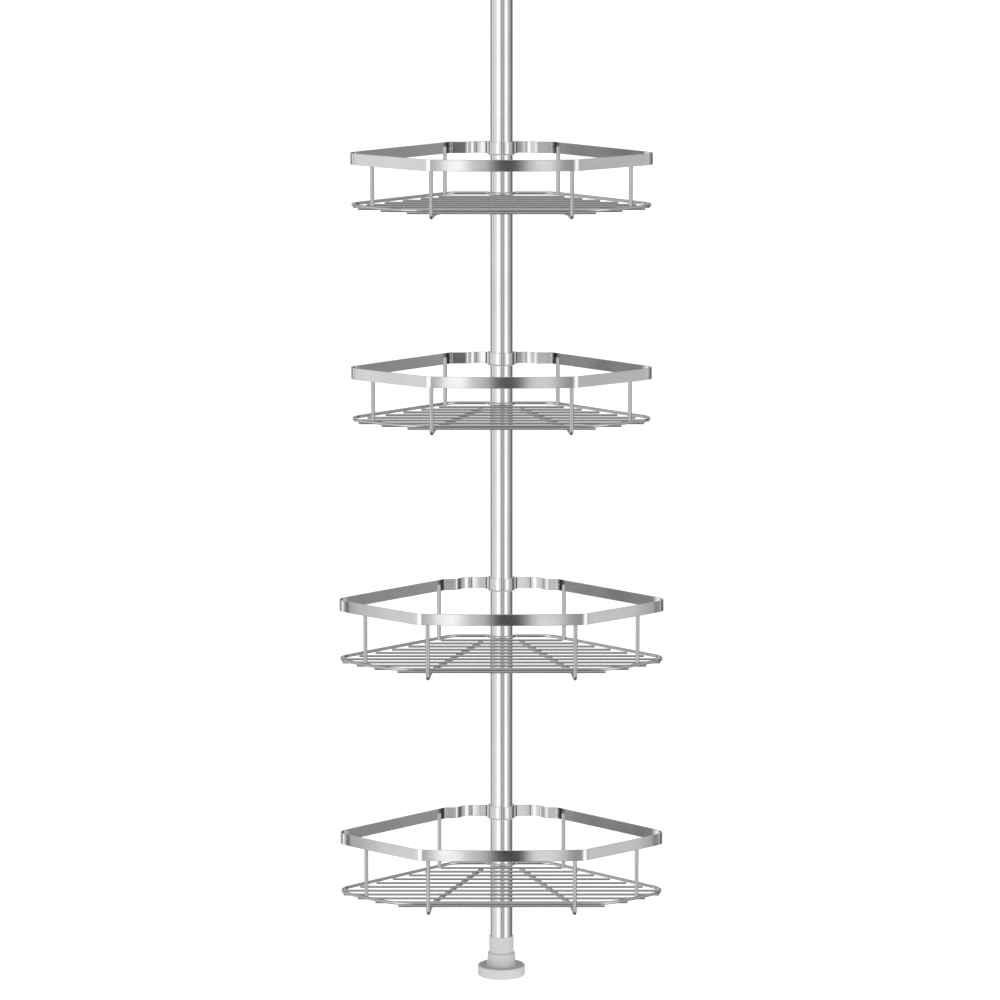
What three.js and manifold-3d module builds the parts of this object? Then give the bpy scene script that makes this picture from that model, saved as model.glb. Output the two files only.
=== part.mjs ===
// Tension pole shelf unit, in millimetres, with +Z up.
// The origin is the middle of the floor pad's underside, on the axis of the pole.
// The shelves reach forwards, along -Y, and are symmetric about the YZ plane.
// Plan sizes are given as a reach, sideways from the pole's axis, and a depth, forwards from it.
import * as THREE from "three";
import { mergeVertices } from "three/addons/utils/BufferGeometryUtils.js";
import Module from "manifold-3d";

const wasm = await Module();
wasm.setup();

// Clearances
const RUNNING_GAP = 0.25; // between a tube and what slides or turns on it
const SEAT_GAP = 0.25; // between pieces that are welded or seated together
const BEND_GAP = 0.45; // between a front post and the rail, which starts to bend beside it
const WELD_DEPTH = 0.3; // how far a cross wire sinks into the rim wire
const MERGE_DISTANCE = 1e-3;

// Facets
const ROUND_SIDES = 28;
const WIRE_SIDES = 8;
const CROSS_WIRE_SIDES = 6;
const SPRING_SIDES = 5;
const FLUTE_SIDES = 10;
const BEND_STEP = Math.PI / 11;
const RING_STEP = Math.PI / 12;

const OVERALL_HEIGHT = 2000;

const POLE = {
  radius: 12.7,
  wall: 0.9,
  sectionLength: 695,
};

const JOINT_PLUG = {
  length: 80,
  wall: 1.8,
};

const INNER_TUBE = {
  radius: 10.75,
  wall: 0.9,
  retraction: 133, // how far its lower end can drop before it meets the joint plug
  endDrop: 120, // from the ceiling down to its upper end
};

const FOOT = {
  height: 47,
  discRadius: 26.7,
  discHeight: 13.2,
  edgeRound: 1.4,
  rimWidth: 2.6, // the raised rim on top of the disc
  dishDepth: 0.7,
  coneBaseRadius: 16.2,
  coneBaseHeight: 14.2,
  coneTopRadius: 15.3,
  coneTopHeight: 27.5,
  coneShoulder: 0.4, // height of the sloped step from the cone to the collar
  collarRadius: 13.8,
  collarRound: 0.5,
  socketFloor: 12,
};

const PAD = {
  radius: 22,
  thickness: 3,
  standOff: 1, // how far it stands proud of the foot
};

const COLLET = {
  skirtLength: 30,
  flangeThickness: 2,
  noseHeight: 9,
  noseRadius: 12.2,
  noseTaper: 0.5,
};

const LOCK_RING = {
  radius: 17,
  below: 28, // how far it reaches down over the pole
  lidThickness: 2.4,
  chamfer: 1.6,
  fluteCount: 12,
  fluteRadius: 2.2,
  fluteCentre: 18.3, // from the axis
  fluteMargin: 5, // plain band above and below the flutes
};

const TUBE_CAP = {
  radius: 12.6,
  skirtLength: 12,
  lidThickness: 2,
  round: 0.8,
};

const PLUNGER = {
  radius: 9.5,
  wall: 1.2,
  engagement: 80, // how far it reaches into the inner tube
  floorThickness: 3,
};

const SPRING_SEAT = {
  thickness: 12,
};

const SPRING = {
  length: 88,
  coilRadius: 7.2,
  wireRadius: 0.9,
  turns: 11,
  stepsPerTurn: 8,
};

// Stock that all four shelves are made from
const STRIP = {
  thickness: 1.2,
  railHeight: 12.7,
  strapHeight: 13.5,
};

const WIRE = {
  rimRadius: 1.8,
  crossRadius: 1.3,
  postRadius: 2.2,
  crossOverhang: 0.6, // how far a cross wire reaches past the middle of the rim wire
  rimBackDepth: 3, // from the pole's axis forwards to the back of the rim wire
  postTopDrop: 4, // from the top of the rail band to the top of a post
  elbowRadius: 5,
  kneeRadius: 30,
  legEndReach: 22, // the legs of the front wires end beside the pole
  legEndDepth: 5.5,
};

const COLLAR = {
  innerRadius: 14.15,
  railBend: 2.5,
  strapBend: 1.4,
  flangeReach: 17.6,
};

const SLEEVE = {
  outerRadius: 13.75,
  topRecess: 0.8,
  lipThickness: 1,
  slotWidth: 4,
};

// Bends of the rail band and the rim wire, on their centrelines
const BEND = {
  railFront: 14,
  railCorner: 15,
  railRear: 10,
  railStep: 6,
  rimFront: 60,
  rimCorner: 22,
  rimRear: 24,
  rimRing: 4,
};

const LARGE_SHELF = {
  frontDepth: 220.5, // to the middle of the rail's front
  frontBow: 4.5, // how far the front bows out between its bends
  frontReach: 91, // to the front bends
  cornerReach: 183.7, // to where the runs beside a corner would meet
  rearReach: 51, // to where the rear run would meet the line of the collar
  stepDepth: 12.5, // how far the rail steps forwards beside the collar
  stepStart: 39,
  stepEnd: 53,
  rimDrop: 66.5, // from the top of the rail to the centre of the rim wire
  floorDepth: 193, // to the front of the rim wire
  crossWires: 11,
  frontPostReach: 80,
  kneeReach: 76.5, // the legs run straight back to here, and then turn in to the pole
  kneeDepth: 168,
  sidePostReach: 148.6,
  rearPostReach: 69.7,
};

const SMALL_SHELF = {
  frontDepth: 190.5,
  frontBow: 4,
  frontReach: 80,
  cornerReach: 171,
  rearReach: 52.5,
  stepDepth: 4.5,
  stepStart: 31,
  stepEnd: 38,
  rimDrop: 57,
  floorDepth: 170,
  crossWires: 9,
  frontPostReach: 75.7,
  kneeReach: 72.5,
  kneeDepth: 146,
  sidePostReach: 139.7,
  rearPostReach: 62.5,
};

const BOW_STEPS = 8;

// Heights of the tops of the rail bands
const BOTTOM_SHELF_HEIGHT = 198;
const LOWER_SHELF_HEIGHT = 459.5;
const SEAM_COVER = 7.2; // from the seam of the pole up to the rail whose collar hides it
const TOP_SHELF_RISE = 234.8; // from the upper shelf to the top one

const MATERIALS = {
  polishedSteel: new THREE.MeshStandardMaterial({ color: 0xc4c7ca, metalness: 1, roughness: 0.2 }),
  brushedSteel: new THREE.MeshStandardMaterial({ color: 0xb9bbbe, metalness: 1, roughness: 0.32 }),
  springSteel: new THREE.MeshStandardMaterial({ color: 0x8d9094, metalness: 1, roughness: 0.4 }),
  greyPlastic: new THREE.MeshStandardMaterial({ color: 0xc9cacb, metalness: 0, roughness: 0.55 }),
  darkPlastic: new THREE.MeshStandardMaterial({ color: 0x3a3c3f, metalness: 0, roughness: 0.6 }),
  rubber: new THREE.MeshStandardMaterial({ color: 0x9a9b9c, metalness: 0, roughness: 0.85 }),
};

// Sizes that follow from the ones above
const poleBore = POLE.radius - POLE.wall;
const poleStart = FOOT.socketFloor;
const seamHeight = poleStart + POLE.sectionLength;
const poleEnd = seamHeight + POLE.sectionLength;
const plugStart = seamHeight - JOINT_PLUG.length / 2;
const plugEnd = plugStart + JOINT_PLUG.length;
const innerBore = INNER_TUBE.radius - INNER_TUBE.wall;
const innerStart = plugEnd + INNER_TUBE.retraction;
const innerEnd = OVERALL_HEIGHT - INNER_TUBE.endDrop;
const plungerStart = innerEnd - PLUNGER.engagement;
const plungerEnd = OVERALL_HEIGHT - FOOT.socketFloor;
const springSeatTop = plungerStart - SPRING.length;
const stripHalf = STRIP.thickness / 2;
const collarRadius = COLLAR.innerRadius + stripHalf;
const ringRadius = POLE.radius + 2 * RUNNING_GAP + WIRE.rimRadius;
const railToPost = stripHalf + SEAT_GAP + WIRE.postRadius;
const postToRim = WIRE.postRadius + SEAT_GAP + WIRE.rimRadius;
const railToRim = railToPost - postToRim;
const upperShelfHeight = seamHeight + SEAM_COVER;

const SHELVES = [
  { name: "bottom", top: BOTTOM_SHELF_HEIGHT, plan: LARGE_SHELF },
  { name: "lower", top: LOWER_SHELF_HEIGHT, plan: LARGE_SHELF },
  { name: "upper", top: upperShelfHeight, plan: SMALL_SHELF },
  { name: "top", top: upperShelfHeight + TOP_SHELF_RISE, plan: SMALL_SHELF },
];

// A point of a plan, at a height.
function at(reach, depth, height = 0) {
  return new THREE.Vector3(reach, -depth, height);
}

// The solid of a closed geometry, ready to be joined or cut.
function solidFrom(geometry) {
  const bare = geometry.index ? geometry.toNonIndexed() : geometry.clone();
  bare.deleteAttribute("normal");
  bare.deleteAttribute("uv");
  const merged = mergeVertices(bare, MERGE_DISTANCE);
  return new wasm.Manifold(
    new wasm.Mesh({
      numProp: 3,
      vertProperties: merged.attributes.position.array,
      triVerts: new Uint32Array(merged.index.array),
    }),
  );
}

function geometryFrom(solid) {
  const mesh = solid.getMesh();
  const geometry = new THREE.BufferGeometry();
  geometry.setAttribute("position", new THREE.BufferAttribute(mesh.vertProperties, 3));
  geometry.setIndex(new THREE.BufferAttribute(mesh.triVerts, 1));
  geometry.computeVertexNormals();
  return geometry;
}

// A turned piece: its profile is a list of [radius, height].
function turned(profile) {
  const points = profile.map(([radius, height]) => new THREE.Vector2(radius, height));
  return new THREE.LatheGeometry(points, ROUND_SIDES).rotateX(Math.PI / 2);
}

function tube(outerRadius, wall, start, end) {
  const bore = outerRadius - wall;
  return turned([
    [bore, start],
    [outerRadius, start],
    [outerRadius, end],
    [bore, end],
    [bore, start],
  ]);
}

// The points of a route whose corners are rounded: each corner is { point, radius }.
function roundedRoute(corners, closed) {
  const points = [];
  corners.forEach(({ point, radius }, index) => {
    const isEnd = !closed && (index === 0 || index === corners.length - 1);
    if (isEnd || radius === 0) {
      points.push(point.clone());
      return;
    }
    const next = corners[(index + 1) % corners.length].point;
    const back = corners.at(index - 1).point.clone().sub(point).normalize();
    const ahead = next.clone().sub(point).normalize();
    const turn = Math.PI - back.angleTo(ahead);
    const inset = radius * Math.tan(turn / 2);
    const toCentre = back.clone().add(ahead).setLength(radius / Math.cos(turn / 2));
    const centre = point.clone().add(toCentre);
    const from = point.clone().addScaledVector(back, inset).sub(centre);
    const to = point.clone().addScaledVector(ahead, inset).sub(centre);
    const steps = Math.max(1, Math.ceil(turn / BEND_STEP));
    for (let step = 0; step <= steps; step++) {
      const angle = (turn * step) / steps;
      const arm = from.clone().multiplyScalar(Math.sin(turn - angle));
      arm.addScaledVector(to, Math.sin(angle)).divideScalar(Math.sin(turn));
      points.push(centre.clone().add(arm));
    }
  });
  return points.filter((point, index) => point.distanceTo(points.at(index - 1)) > MERGE_DISTANCE);
}

// A round wire through a list of points, as one closed surface.
// Its flats face along the across vector, and stand at the wire's true radius.
function wireThrough(points, radius, across, { sides = WIRE_SIDES, closed = false } = {}) {
  const count = points.length;
  const cornerRadius = radius / Math.cos(Math.PI / sides);
  const positions = [];
  const faces = [];
  const normal = across.clone();
  points.forEach((point, index) => {
    const before = closed ? points.at(index - 1) : points[Math.max(index - 1, 0)];
    const after = closed ? points[(index + 1) % count] : points[Math.min(index + 1, count - 1)];
    const arriving = point.clone().sub(before).normalize();
    const leaving = after.clone().sub(point).normalize();
    const along = arriving.add(leaving).normalize();
    normal.addScaledVector(along, -normal.dot(along)).normalize();
    const sideways = along.clone().cross(normal);
    for (let side = 0; side < sides; side++) {
      const angle = ((side + 1 / 2) * 2 * Math.PI) / sides;
      const corner = point.clone();
      corner.addScaledVector(normal, cornerRadius * Math.cos(angle));
      corner.addScaledVector(sideways, cornerRadius * Math.sin(angle));
      positions.push(corner.x, corner.y, corner.z);
    }
  });
  const spans = closed ? count : count - 1;
  for (let span = 0; span < spans; span++) {
    const near = span * sides;
    const far = ((span + 1) % count) * sides;
    for (let side = 0; side < sides; side++) {
      const next = (side + 1) % sides;
      faces.push(near + side, near + next, far + next);
      faces.push(near + side, far + next, far + side);
    }
  }
  if (!closed) {
    const last = (count - 1) * sides;
    for (let side = 1; side < sides - 1; side++) {
      faces.push(0, side + 1, side);
      faces.push(last, last + side, last + side + 1);
    }
  }
  const geometry = new THREE.BufferGeometry();
  geometry.setAttribute("position", new THREE.Float32BufferAttribute(positions, 3));
  geometry.setIndex(faces);
  geometry.computeVertexNormals();
  return geometry;
}

// The points of a plan route moved sideways by an offset, to the left of its direction.
function movedAside(points, offset, closed) {
  const count = points.length;
  return points.map((point, index) => {
    const before = closed ? points.at(index - 1) : points[Math.max(index - 1, 0)];
    const after = closed ? points[(index + 1) % count] : points[Math.min(index + 1, count - 1)];
    const arriving = point.clone().sub(before).normalize();
    const leaving = after.clone().sub(point).normalize();
    const along = arriving.clone().add(leaving).normalize();
    const straight = arriving.lengthSq() === 0 ? leaving : arriving;
    const reach = offset / along.dot(straight);
    return new THREE.Vector2(point.x - along.y * reach, point.y + along.x * reach);
  });
}

// A flat strip on edge along a plan route, with its top at the given height.
// A closed route runs clockwise seen from above, so its left side is the outer one.
function stripAlong(points, thickness, top, height, closed = false) {
  const left = movedAside(points, thickness / 2, closed).reverse();
  const right = movedAside(points, -thickness / 2, closed);
  const shape = new THREE.Shape(closed ? left : [...right, ...left]);
  if (closed) shape.holes.push(new THREE.Path(right));
  const strip = new THREE.ExtrudeGeometry(shape, { depth: height, bevelEnabled: false });
  return strip.translate(0, 0, top - height);
}

// The corners of a route that arrives along a line, wraps round the pole and leaves along the line.
// The line is given by its depth in the direction of the wrap: +1 in front of the pole, -1 behind it.
function wrapCorners(radius, bend, lineDepth, wrap) {
  const rise = (lineDepth + bend) / (radius + bend);
  const run = Math.sqrt(1 - rise * rise);
  const entry = (radius - lineDepth * rise) / run;
  const crown = (radius * (1 - rise)) / run;
  return [
    { point: at(entry, wrap * lineDepth), radius: bend },
    { point: at(crown, wrap * radius), radius },
    { point: at(-crown, wrap * radius), radius },
    { point: at(-entry, wrap * lineDepth), radius: bend },
  ];
}

// Corners on the right of a plan, from the pole outwards, with their mirror images on the left.
function mirrored(corners) {
  const left = corners.map(({ point, radius }) => ({
    point: new THREE.Vector3(-point.x, point.y, point.z),
    radius,
  }));
  return { right: corners, left: left.reverse() };
}

// Where two plan lines meet, each given by a point and a direction.
function meeting(pointA, directionA, pointB, directionB) {
  const cross = directionA.x * directionB.y - directionA.y * directionB.x;
  const between = pointB.clone().sub(pointA);
  const share = (between.x * directionB.y - between.y * directionB.x) / cross;
  return pointA.clone().addScaledVector(directionA, share);
}

// The main corners of a shelf's rail on the right, and the directions of its straight runs.
function railFrame(plan) {
  const frontCorner = at(plan.frontReach, plan.frontDepth - plan.frontBow);
  const corner = at(plan.cornerReach, plan.cornerReach - plan.rearReach);
  const rear = at(plan.rearReach + plan.stepDepth, plan.stepDepth);
  const sideRun = corner.clone().sub(frontCorner).normalize();
  const rearRun = corner.clone().sub(rear).normalize();
  return { frontCorner, corner, rear, sideRun, rearRun };
}

// The direction from a straight run on the right of the rail towards the inside of the shelf.
function inwardOf(run) {
  return new THREE.Vector3(-Math.abs(run.y), Math.sign(run.y) * run.x, 0);
}

// The depth of the bowed front of the rail at a reach.
function frontDepthAt(plan, reach) {
  const share = reach / plan.frontReach;
  return plan.frontDepth - plan.frontBow * share * share;
}

function railRoute(plan) {
  const { frontCorner, corner, rear } = railFrame(plan);
  const { right, left } = mirrored([
    { point: at(plan.stepStart, 0), radius: BEND.railStep },
    { point: at(plan.stepEnd, plan.stepDepth), radius: BEND.railStep },
    { point: rear, radius: BEND.railRear },
    { point: corner, radius: BEND.railCorner },
    { point: frontCorner, radius: BEND.railFront },
  ]);
  const bow = [];
  for (let step = 1; step < BOW_STEPS; step++) {
    const reach = plan.frontReach * (1 - (2 * step) / BOW_STEPS);
    bow.push({ point: at(reach, frontDepthAt(plan, reach)), radius: 0 });
  }
  const wrap = wrapCorners(collarRadius, COLLAR.railBend, 0, -1).reverse();
  return roundedRoute([...right, ...bow, ...left, ...wrap], true);
}

function strapRoute() {
  const depth = STRIP.thickness + SEAT_GAP;
  const wrap = wrapCorners(collarRadius, COLLAR.strapBend, depth, 1);
  const start = { point: at(COLLAR.flangeReach, depth), radius: 0 };
  const end = { point: at(-COLLAR.flangeReach, depth), radius: 0 };
  return roundedRoute([start, ...wrap, end], false);
}

// The main corners of the rim wire on the right: it runs outside the posts, under the rail.
function rimFrame(plan) {
  const { frontCorner, rear, sideRun, rearRun } = railFrame(plan);
  const sidePoint = frontCorner.clone().addScaledVector(inwardOf(sideRun), railToRim);
  const rearPoint = rear.clone().addScaledVector(inwardOf(rearRun), railToRim);
  const sideways = new THREE.Vector3(1, 0, 0);
  const front = meeting(at(0, plan.floorDepth), sideways, sidePoint, sideRun);
  const corner = meeting(sidePoint, sideRun, rearPoint, rearRun);
  const back = meeting(at(0, WIRE.rimBackDepth), sideways, rearPoint, rearRun);
  return { front, corner, back };
}

function rimRoute(plan) {
  const { front, corner, back } = rimFrame(plan);
  const { right, left } = mirrored([
    { point: back, radius: BEND.rimRear },
    { point: corner, radius: BEND.rimCorner },
    { point: front, radius: BEND.rimFront },
  ]);
  const wrap = wrapCorners(ringRadius, BEND.rimRing, WIRE.rimBackDepth, 1).reverse();
  return roundedRoute([...right, ...left, ...wrap], true);
}

// Half the length of a cross wire at a depth, from the rim's own outline.
// The front wire ends where the rim has curved back from it by the wire's thickness.
function crossReach(rim, depth, frontDepth) {
  const level = Math.min(depth, frontDepth - 2 * WIRE.crossRadius);
  let reach = 0;
  rim.forEach((point, index) => {
    const last = rim.at(index - 1);
    if ((point.y + level) * (last.y + level) >= 0) return;
    const share = (last.y + level) / (last.y - point.y);
    reach = Math.max(reach, last.x + (point.x - last.x) * share);
  });
  return reach + WIRE.crossOverhang;
}

// The levels of a shelf's wires, below the top of its rail band.
function wireLevels(plan) {
  const rim = -plan.rimDrop;
  const cross = rim - WIRE.rimRadius - WIRE.crossRadius + WELD_DEPTH;
  const leg = cross - WIRE.crossRadius - SEAT_GAP - WIRE.postRadius;
  const postFoot = cross + WIRE.crossRadius + SEAT_GAP;
  return { rim, cross, leg, postFoot };
}

function floorGrid(plan) {
  const levels = wireLevels(plan);
  const up = new THREE.Vector3(0, 0, 1);
  const rim = rimRoute(plan).map((point) => point.setZ(levels.rim));
  let grid = solidFrom(wireThrough(rim, WIRE.rimRadius, up, { closed: true }));
  const pitch = (plan.floorDepth - ringRadius) / (plan.crossWires - 1);
  for (let wire = 0; wire < plan.crossWires; wire++) {
    const depth = ringRadius + wire * pitch;
    const reach = crossReach(rim, depth, plan.floorDepth);
    const line = [at(-reach, depth, levels.cross), at(reach, depth, levels.cross)];
    const options = { sides: CROSS_WIRE_SIDES };
    grid = grid.add(solidFrom(wireThrough(line, WIRE.crossRadius, up, options)));
  }
  return geometryFrom(grid);
}

// The front upright and the leg under the floor, bent from one wire. Side is +1 right, -1 left.
function frontWire(plan, side) {
  const { leg } = wireLevels(plan);
  const reach = plan.frontPostReach;
  const depth = frontDepthAt(plan, reach) - stripHalf - BEND_GAP - WIRE.postRadius;
  const head = at(side * reach, depth, -WIRE.postTopDrop);
  const foot = at(side * reach, depth, leg);
  const knee = at(side * plan.kneeReach, plan.kneeDepth, leg);
  const end = at(side * WIRE.legEndReach, WIRE.legEndDepth, leg);
  const run = knee.clone().sub(foot).normalize();
  const across = new THREE.Vector3(-run.y, run.x, 0);
  const route = roundedRoute(
    [
      { point: head, radius: 0 },
      { point: foot, radius: WIRE.elbowRadius },
      { point: knee, radius: WIRE.kneeRadius },
      { point: end, radius: 0 },
    ],
    false,
  );
  return wireThrough(route, WIRE.postRadius, across);
}

// An upright just inside a straight run of the rail, at a reach.
function post(plan, runPoint, run, reach, side) {
  const inset = inwardOf(run).multiplyScalar(railToPost);
  const share = (reach - runPoint.x - inset.x) / run.x;
  const spot = runPoint.clone().addScaledVector(run, share).add(inset);
  spot.x *= side;
  inset.x *= side;
  const head = spot.clone().setZ(-WIRE.postTopDrop);
  const foot = spot.clone().setZ(wireLevels(plan).postFoot);
  return wireThrough([foot, head], WIRE.postRadius, inset.normalize());
}

// The split ring that grips the pole inside a shelf's collar, with the lip that carries the collar.
function lockSleeve() {
  const inner = POLE.radius + RUNNING_GAP;
  const top = -SLEEVE.topRecess;
  const collarBottom = -(STRIP.railHeight + STRIP.strapHeight) / 2;
  const lipTop = collarBottom - SEAT_GAP;
  const lipRadius = collarRadius + stripHalf;
  const ring = (outer, ringTop, height) => {
    const middle = (inner + outer) / 2;
    const slot = SLEEVE.slotWidth / middle;
    const arc = 2 * Math.PI - slot;
    const steps = Math.ceil(arc / RING_STEP);
    const points = [];
    for (let step = 0; step <= steps; step++) {
      const angle = Math.PI / 2 + slot / 2 + (arc * step) / steps;
      points.push(new THREE.Vector3(middle * Math.cos(angle), middle * Math.sin(angle), 0));
    }
    return solidFrom(stripAlong(points, outer - inner, ringTop, height));
  };
  const wall = ring(SLEEVE.outerRadius, top, top - lipTop + SLEEVE.lipThickness);
  return geometryFrom(wall.add(ring(lipRadius, lipTop, SLEEVE.lipThickness)));
}

// A foot for either end of the pole. Up is +1 for the floor foot and -1 for the ceiling foot.
function foot(socketRadius, base, up) {
  const { discRadius, discHeight, edgeRound, height, collarRound } = FOOT;
  const padRecess = PAD.radius + SEAT_GAP;
  const dishOuter = discRadius - edgeRound - FOOT.rimWidth;
  const profile = [
    [0, PAD.thickness],
    [padRecess, PAD.thickness],
    [padRecess, PAD.standOff],
    [discRadius - edgeRound, PAD.standOff],
    [discRadius, PAD.standOff + edgeRound],
    [discRadius, discHeight - edgeRound],
    [discRadius - edgeRound, discHeight],
    [dishOuter, discHeight],
    [dishOuter - FOOT.dishDepth, discHeight - FOOT.dishDepth],
    [FOOT.coneBaseRadius + FOOT.dishDepth, discHeight - FOOT.dishDepth],
    [FOOT.coneBaseRadius, FOOT.coneBaseHeight],
    [FOOT.coneTopRadius, FOOT.coneTopHeight],
    [FOOT.collarRadius, FOOT.coneTopHeight + FOOT.coneShoulder],
    [FOOT.collarRadius, height - collarRound],
    [FOOT.collarRadius - collarRound, height],
    [socketRadius, height],
    [socketRadius, FOOT.socketFloor],
    [0, FOOT.socketFloor],
  ];
  const placed = profile.map(([radius, level]) => [radius, base + up * level]);
  return turned(up > 0 ? placed : placed.reverse());
}

function pad(base, up) {
  const levels = [base, base + up * PAD.thickness].sort((a, b) => a - b);
  return turned([
    [0, levels[0]],
    [PAD.radius, levels[0]],
    [PAD.radius, levels[1]],
    [0, levels[1]],
  ]);
}

function guideCollet() {
  const bore = INNER_TUBE.radius + RUNNING_GAP;
  const skirt = poleBore - RUNNING_GAP;
  const noseTop = poleEnd + COLLET.flangeThickness + COLLET.noseHeight;
  return turned([
    [bore, poleEnd - COLLET.skirtLength],
    [skirt, poleEnd - COLLET.skirtLength],
    [skirt, poleEnd],
    [POLE.radius, poleEnd],
    [POLE.radius, poleEnd + COLLET.flangeThickness],
    [COLLET.noseRadius, poleEnd + COLLET.flangeThickness],
    [COLLET.noseRadius - COLLET.noseTaper, noseTop],
    [bore, noseTop],
    [bore, poleEnd - COLLET.skirtLength],
  ]);
}

function lockRing() {
  const { radius, chamfer, lidThickness } = LOCK_RING;
  const bottom = poleEnd - LOCK_RING.below;
  const colletTop = poleEnd + COLLET.flangeThickness + COLLET.noseHeight;
  const lidUnderside = colletTop + RUNNING_GAP;
  const top = lidUnderside + lidThickness;
  const sleeveBore = POLE.radius + RUNNING_GAP;
  const lidBore = INNER_TUBE.radius + RUNNING_GAP;
  let ring = solidFrom(
    turned([
      [sleeveBore, bottom],
      [radius - chamfer, bottom],
      [radius, bottom + chamfer],
      [radius, top - chamfer],
      [radius - chamfer, top],
      [lidBore, top],
      [lidBore, lidUnderside],
      [sleeveBore, lidUnderside],
      [sleeveBore, bottom],
    ]),
  );
  const fluteLow = bottom + LOCK_RING.fluteMargin;
  const fluteHigh = top - LOCK_RING.fluteMargin;
  for (let flute = 0; flute < LOCK_RING.fluteCount; flute++) {
    const angle = (flute * 2 * Math.PI) / LOCK_RING.fluteCount;
    const x = LOCK_RING.fluteCentre * Math.cos(angle);
    const y = LOCK_RING.fluteCentre * Math.sin(angle);
    const line = [new THREE.Vector3(x, y, fluteLow), new THREE.Vector3(x, y, fluteHigh)];
    const across = new THREE.Vector3(Math.cos(angle), Math.sin(angle), 0);
    const cutter = wireThrough(line, LOCK_RING.fluteRadius, across, { sides: FLUTE_SIDES });
    ring = ring.subtract(solidFrom(cutter));
  }
  return geometryFrom(ring);
}

function tubeCap() {
  const bore = PLUNGER.radius + RUNNING_GAP;
  const skirtBore = INNER_TUBE.radius + SEAT_GAP;
  const bottom = innerEnd - TUBE_CAP.skirtLength;
  const top = innerEnd + TUBE_CAP.lidThickness;
  return turned([
    [skirtBore, bottom],
    [TUBE_CAP.radius, bottom],
    [TUBE_CAP.radius, top - TUBE_CAP.round],
    [TUBE_CAP.radius - TUBE_CAP.round, top],
    [bore, top],
    [bore, innerEnd],
    [skirtBore, innerEnd],
    [skirtBore, bottom],
  ]);
}

function plunger() {
  const bore = PLUNGER.radius - PLUNGER.wall;
  return turned([
    [0, plungerStart],
    [PLUNGER.radius, plungerStart],
    [PLUNGER.radius, plungerEnd],
    [bore, plungerEnd],
    [bore, plungerStart + PLUNGER.floorThickness],
    [0, plungerStart + PLUNGER.floorThickness],
  ]);
}

function springSeat() {
  const radius = innerBore - SEAT_GAP;
  return turned([
    [0, springSeatTop - SPRING_SEAT.thickness],
    [radius, springSeatTop - SPRING_SEAT.thickness],
    [radius, springSeatTop],
    [0, springSeatTop],
  ]);
}

function tensionSpring() {
  const start = springSeatTop + SEAT_GAP + SPRING.wireRadius;
  const end = plungerStart - SEAT_GAP - SPRING.wireRadius;
  const steps = SPRING.turns * SPRING.stepsPerTurn;
  const points = [];
  for (let step = 0; step <= steps; step++) {
    const angle = (step * 2 * Math.PI) / SPRING.stepsPerTurn;
    const height = start + ((end - start) * step) / steps;
    const x = SPRING.coilRadius * Math.cos(angle);
    const y = SPRING.coilRadius * Math.sin(angle);
    points.push(new THREE.Vector3(x, y, height));
  }
  const up = new THREE.Vector3(0, 0, 1);
  return wireThrough(points, SPRING.wireRadius, up, { sides: SPRING_SIDES });
}

const unit = new THREE.Group();

function place(parent, name, geometry, material) {
  const mesh = new THREE.Mesh(geometry, material);
  mesh.name = name;
  parent.add(mesh);
}

function addPole() {
  const { polishedSteel, greyPlastic, darkPlastic, rubber } = MATERIALS;
  const pole = new THREE.Group();
  place(pole, "floor_pad", pad(0, 1), rubber);
  place(pole, "floor_foot", foot(POLE.radius + SEAT_GAP, 0, 1), greyPlastic);
  place(pole, "lower_pole_tube", tube(POLE.radius, POLE.wall, poleStart, seamHeight), polishedSteel);
  place(pole, "upper_pole_tube", tube(POLE.radius, POLE.wall, seamHeight, poleEnd), polishedSteel);
  const plug = tube(poleBore - SEAT_GAP, JOINT_PLUG.wall, plugStart, plugEnd);
  place(pole, "pole_joint_plug", plug, darkPlastic);
  place(pole, "guide_collet", guideCollet(), darkPlastic);
  place(pole, "twist_lock_ring", lockRing(), greyPlastic);
  unit.add(pole);
}

function addInnerPole() {
  const { polishedSteel, springSteel, greyPlastic, darkPlastic, rubber } = MATERIALS;
  const inner = new THREE.Group();
  const tubeShape = tube(INNER_TUBE.radius, INNER_TUBE.wall, innerStart, innerEnd);
  place(inner, "inner_pole_tube", tubeShape, polishedSteel);
  place(inner, "inner_tube_cap", tubeCap(), greyPlastic);
  place(inner, "spring_seat", springSeat(), darkPlastic);
  place(inner, "tension_spring", tensionSpring(), springSteel);
  place(inner, "spring_plunger", plunger(), polishedSteel);
  const socket = PLUNGER.radius + SEAT_GAP;
  place(inner, "ceiling_foot", foot(socket, OVERALL_HEIGHT, -1), greyPlastic);
  place(inner, "ceiling_pad", pad(OVERALL_HEIGHT, -1), rubber);
  unit.add(inner);
}

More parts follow.
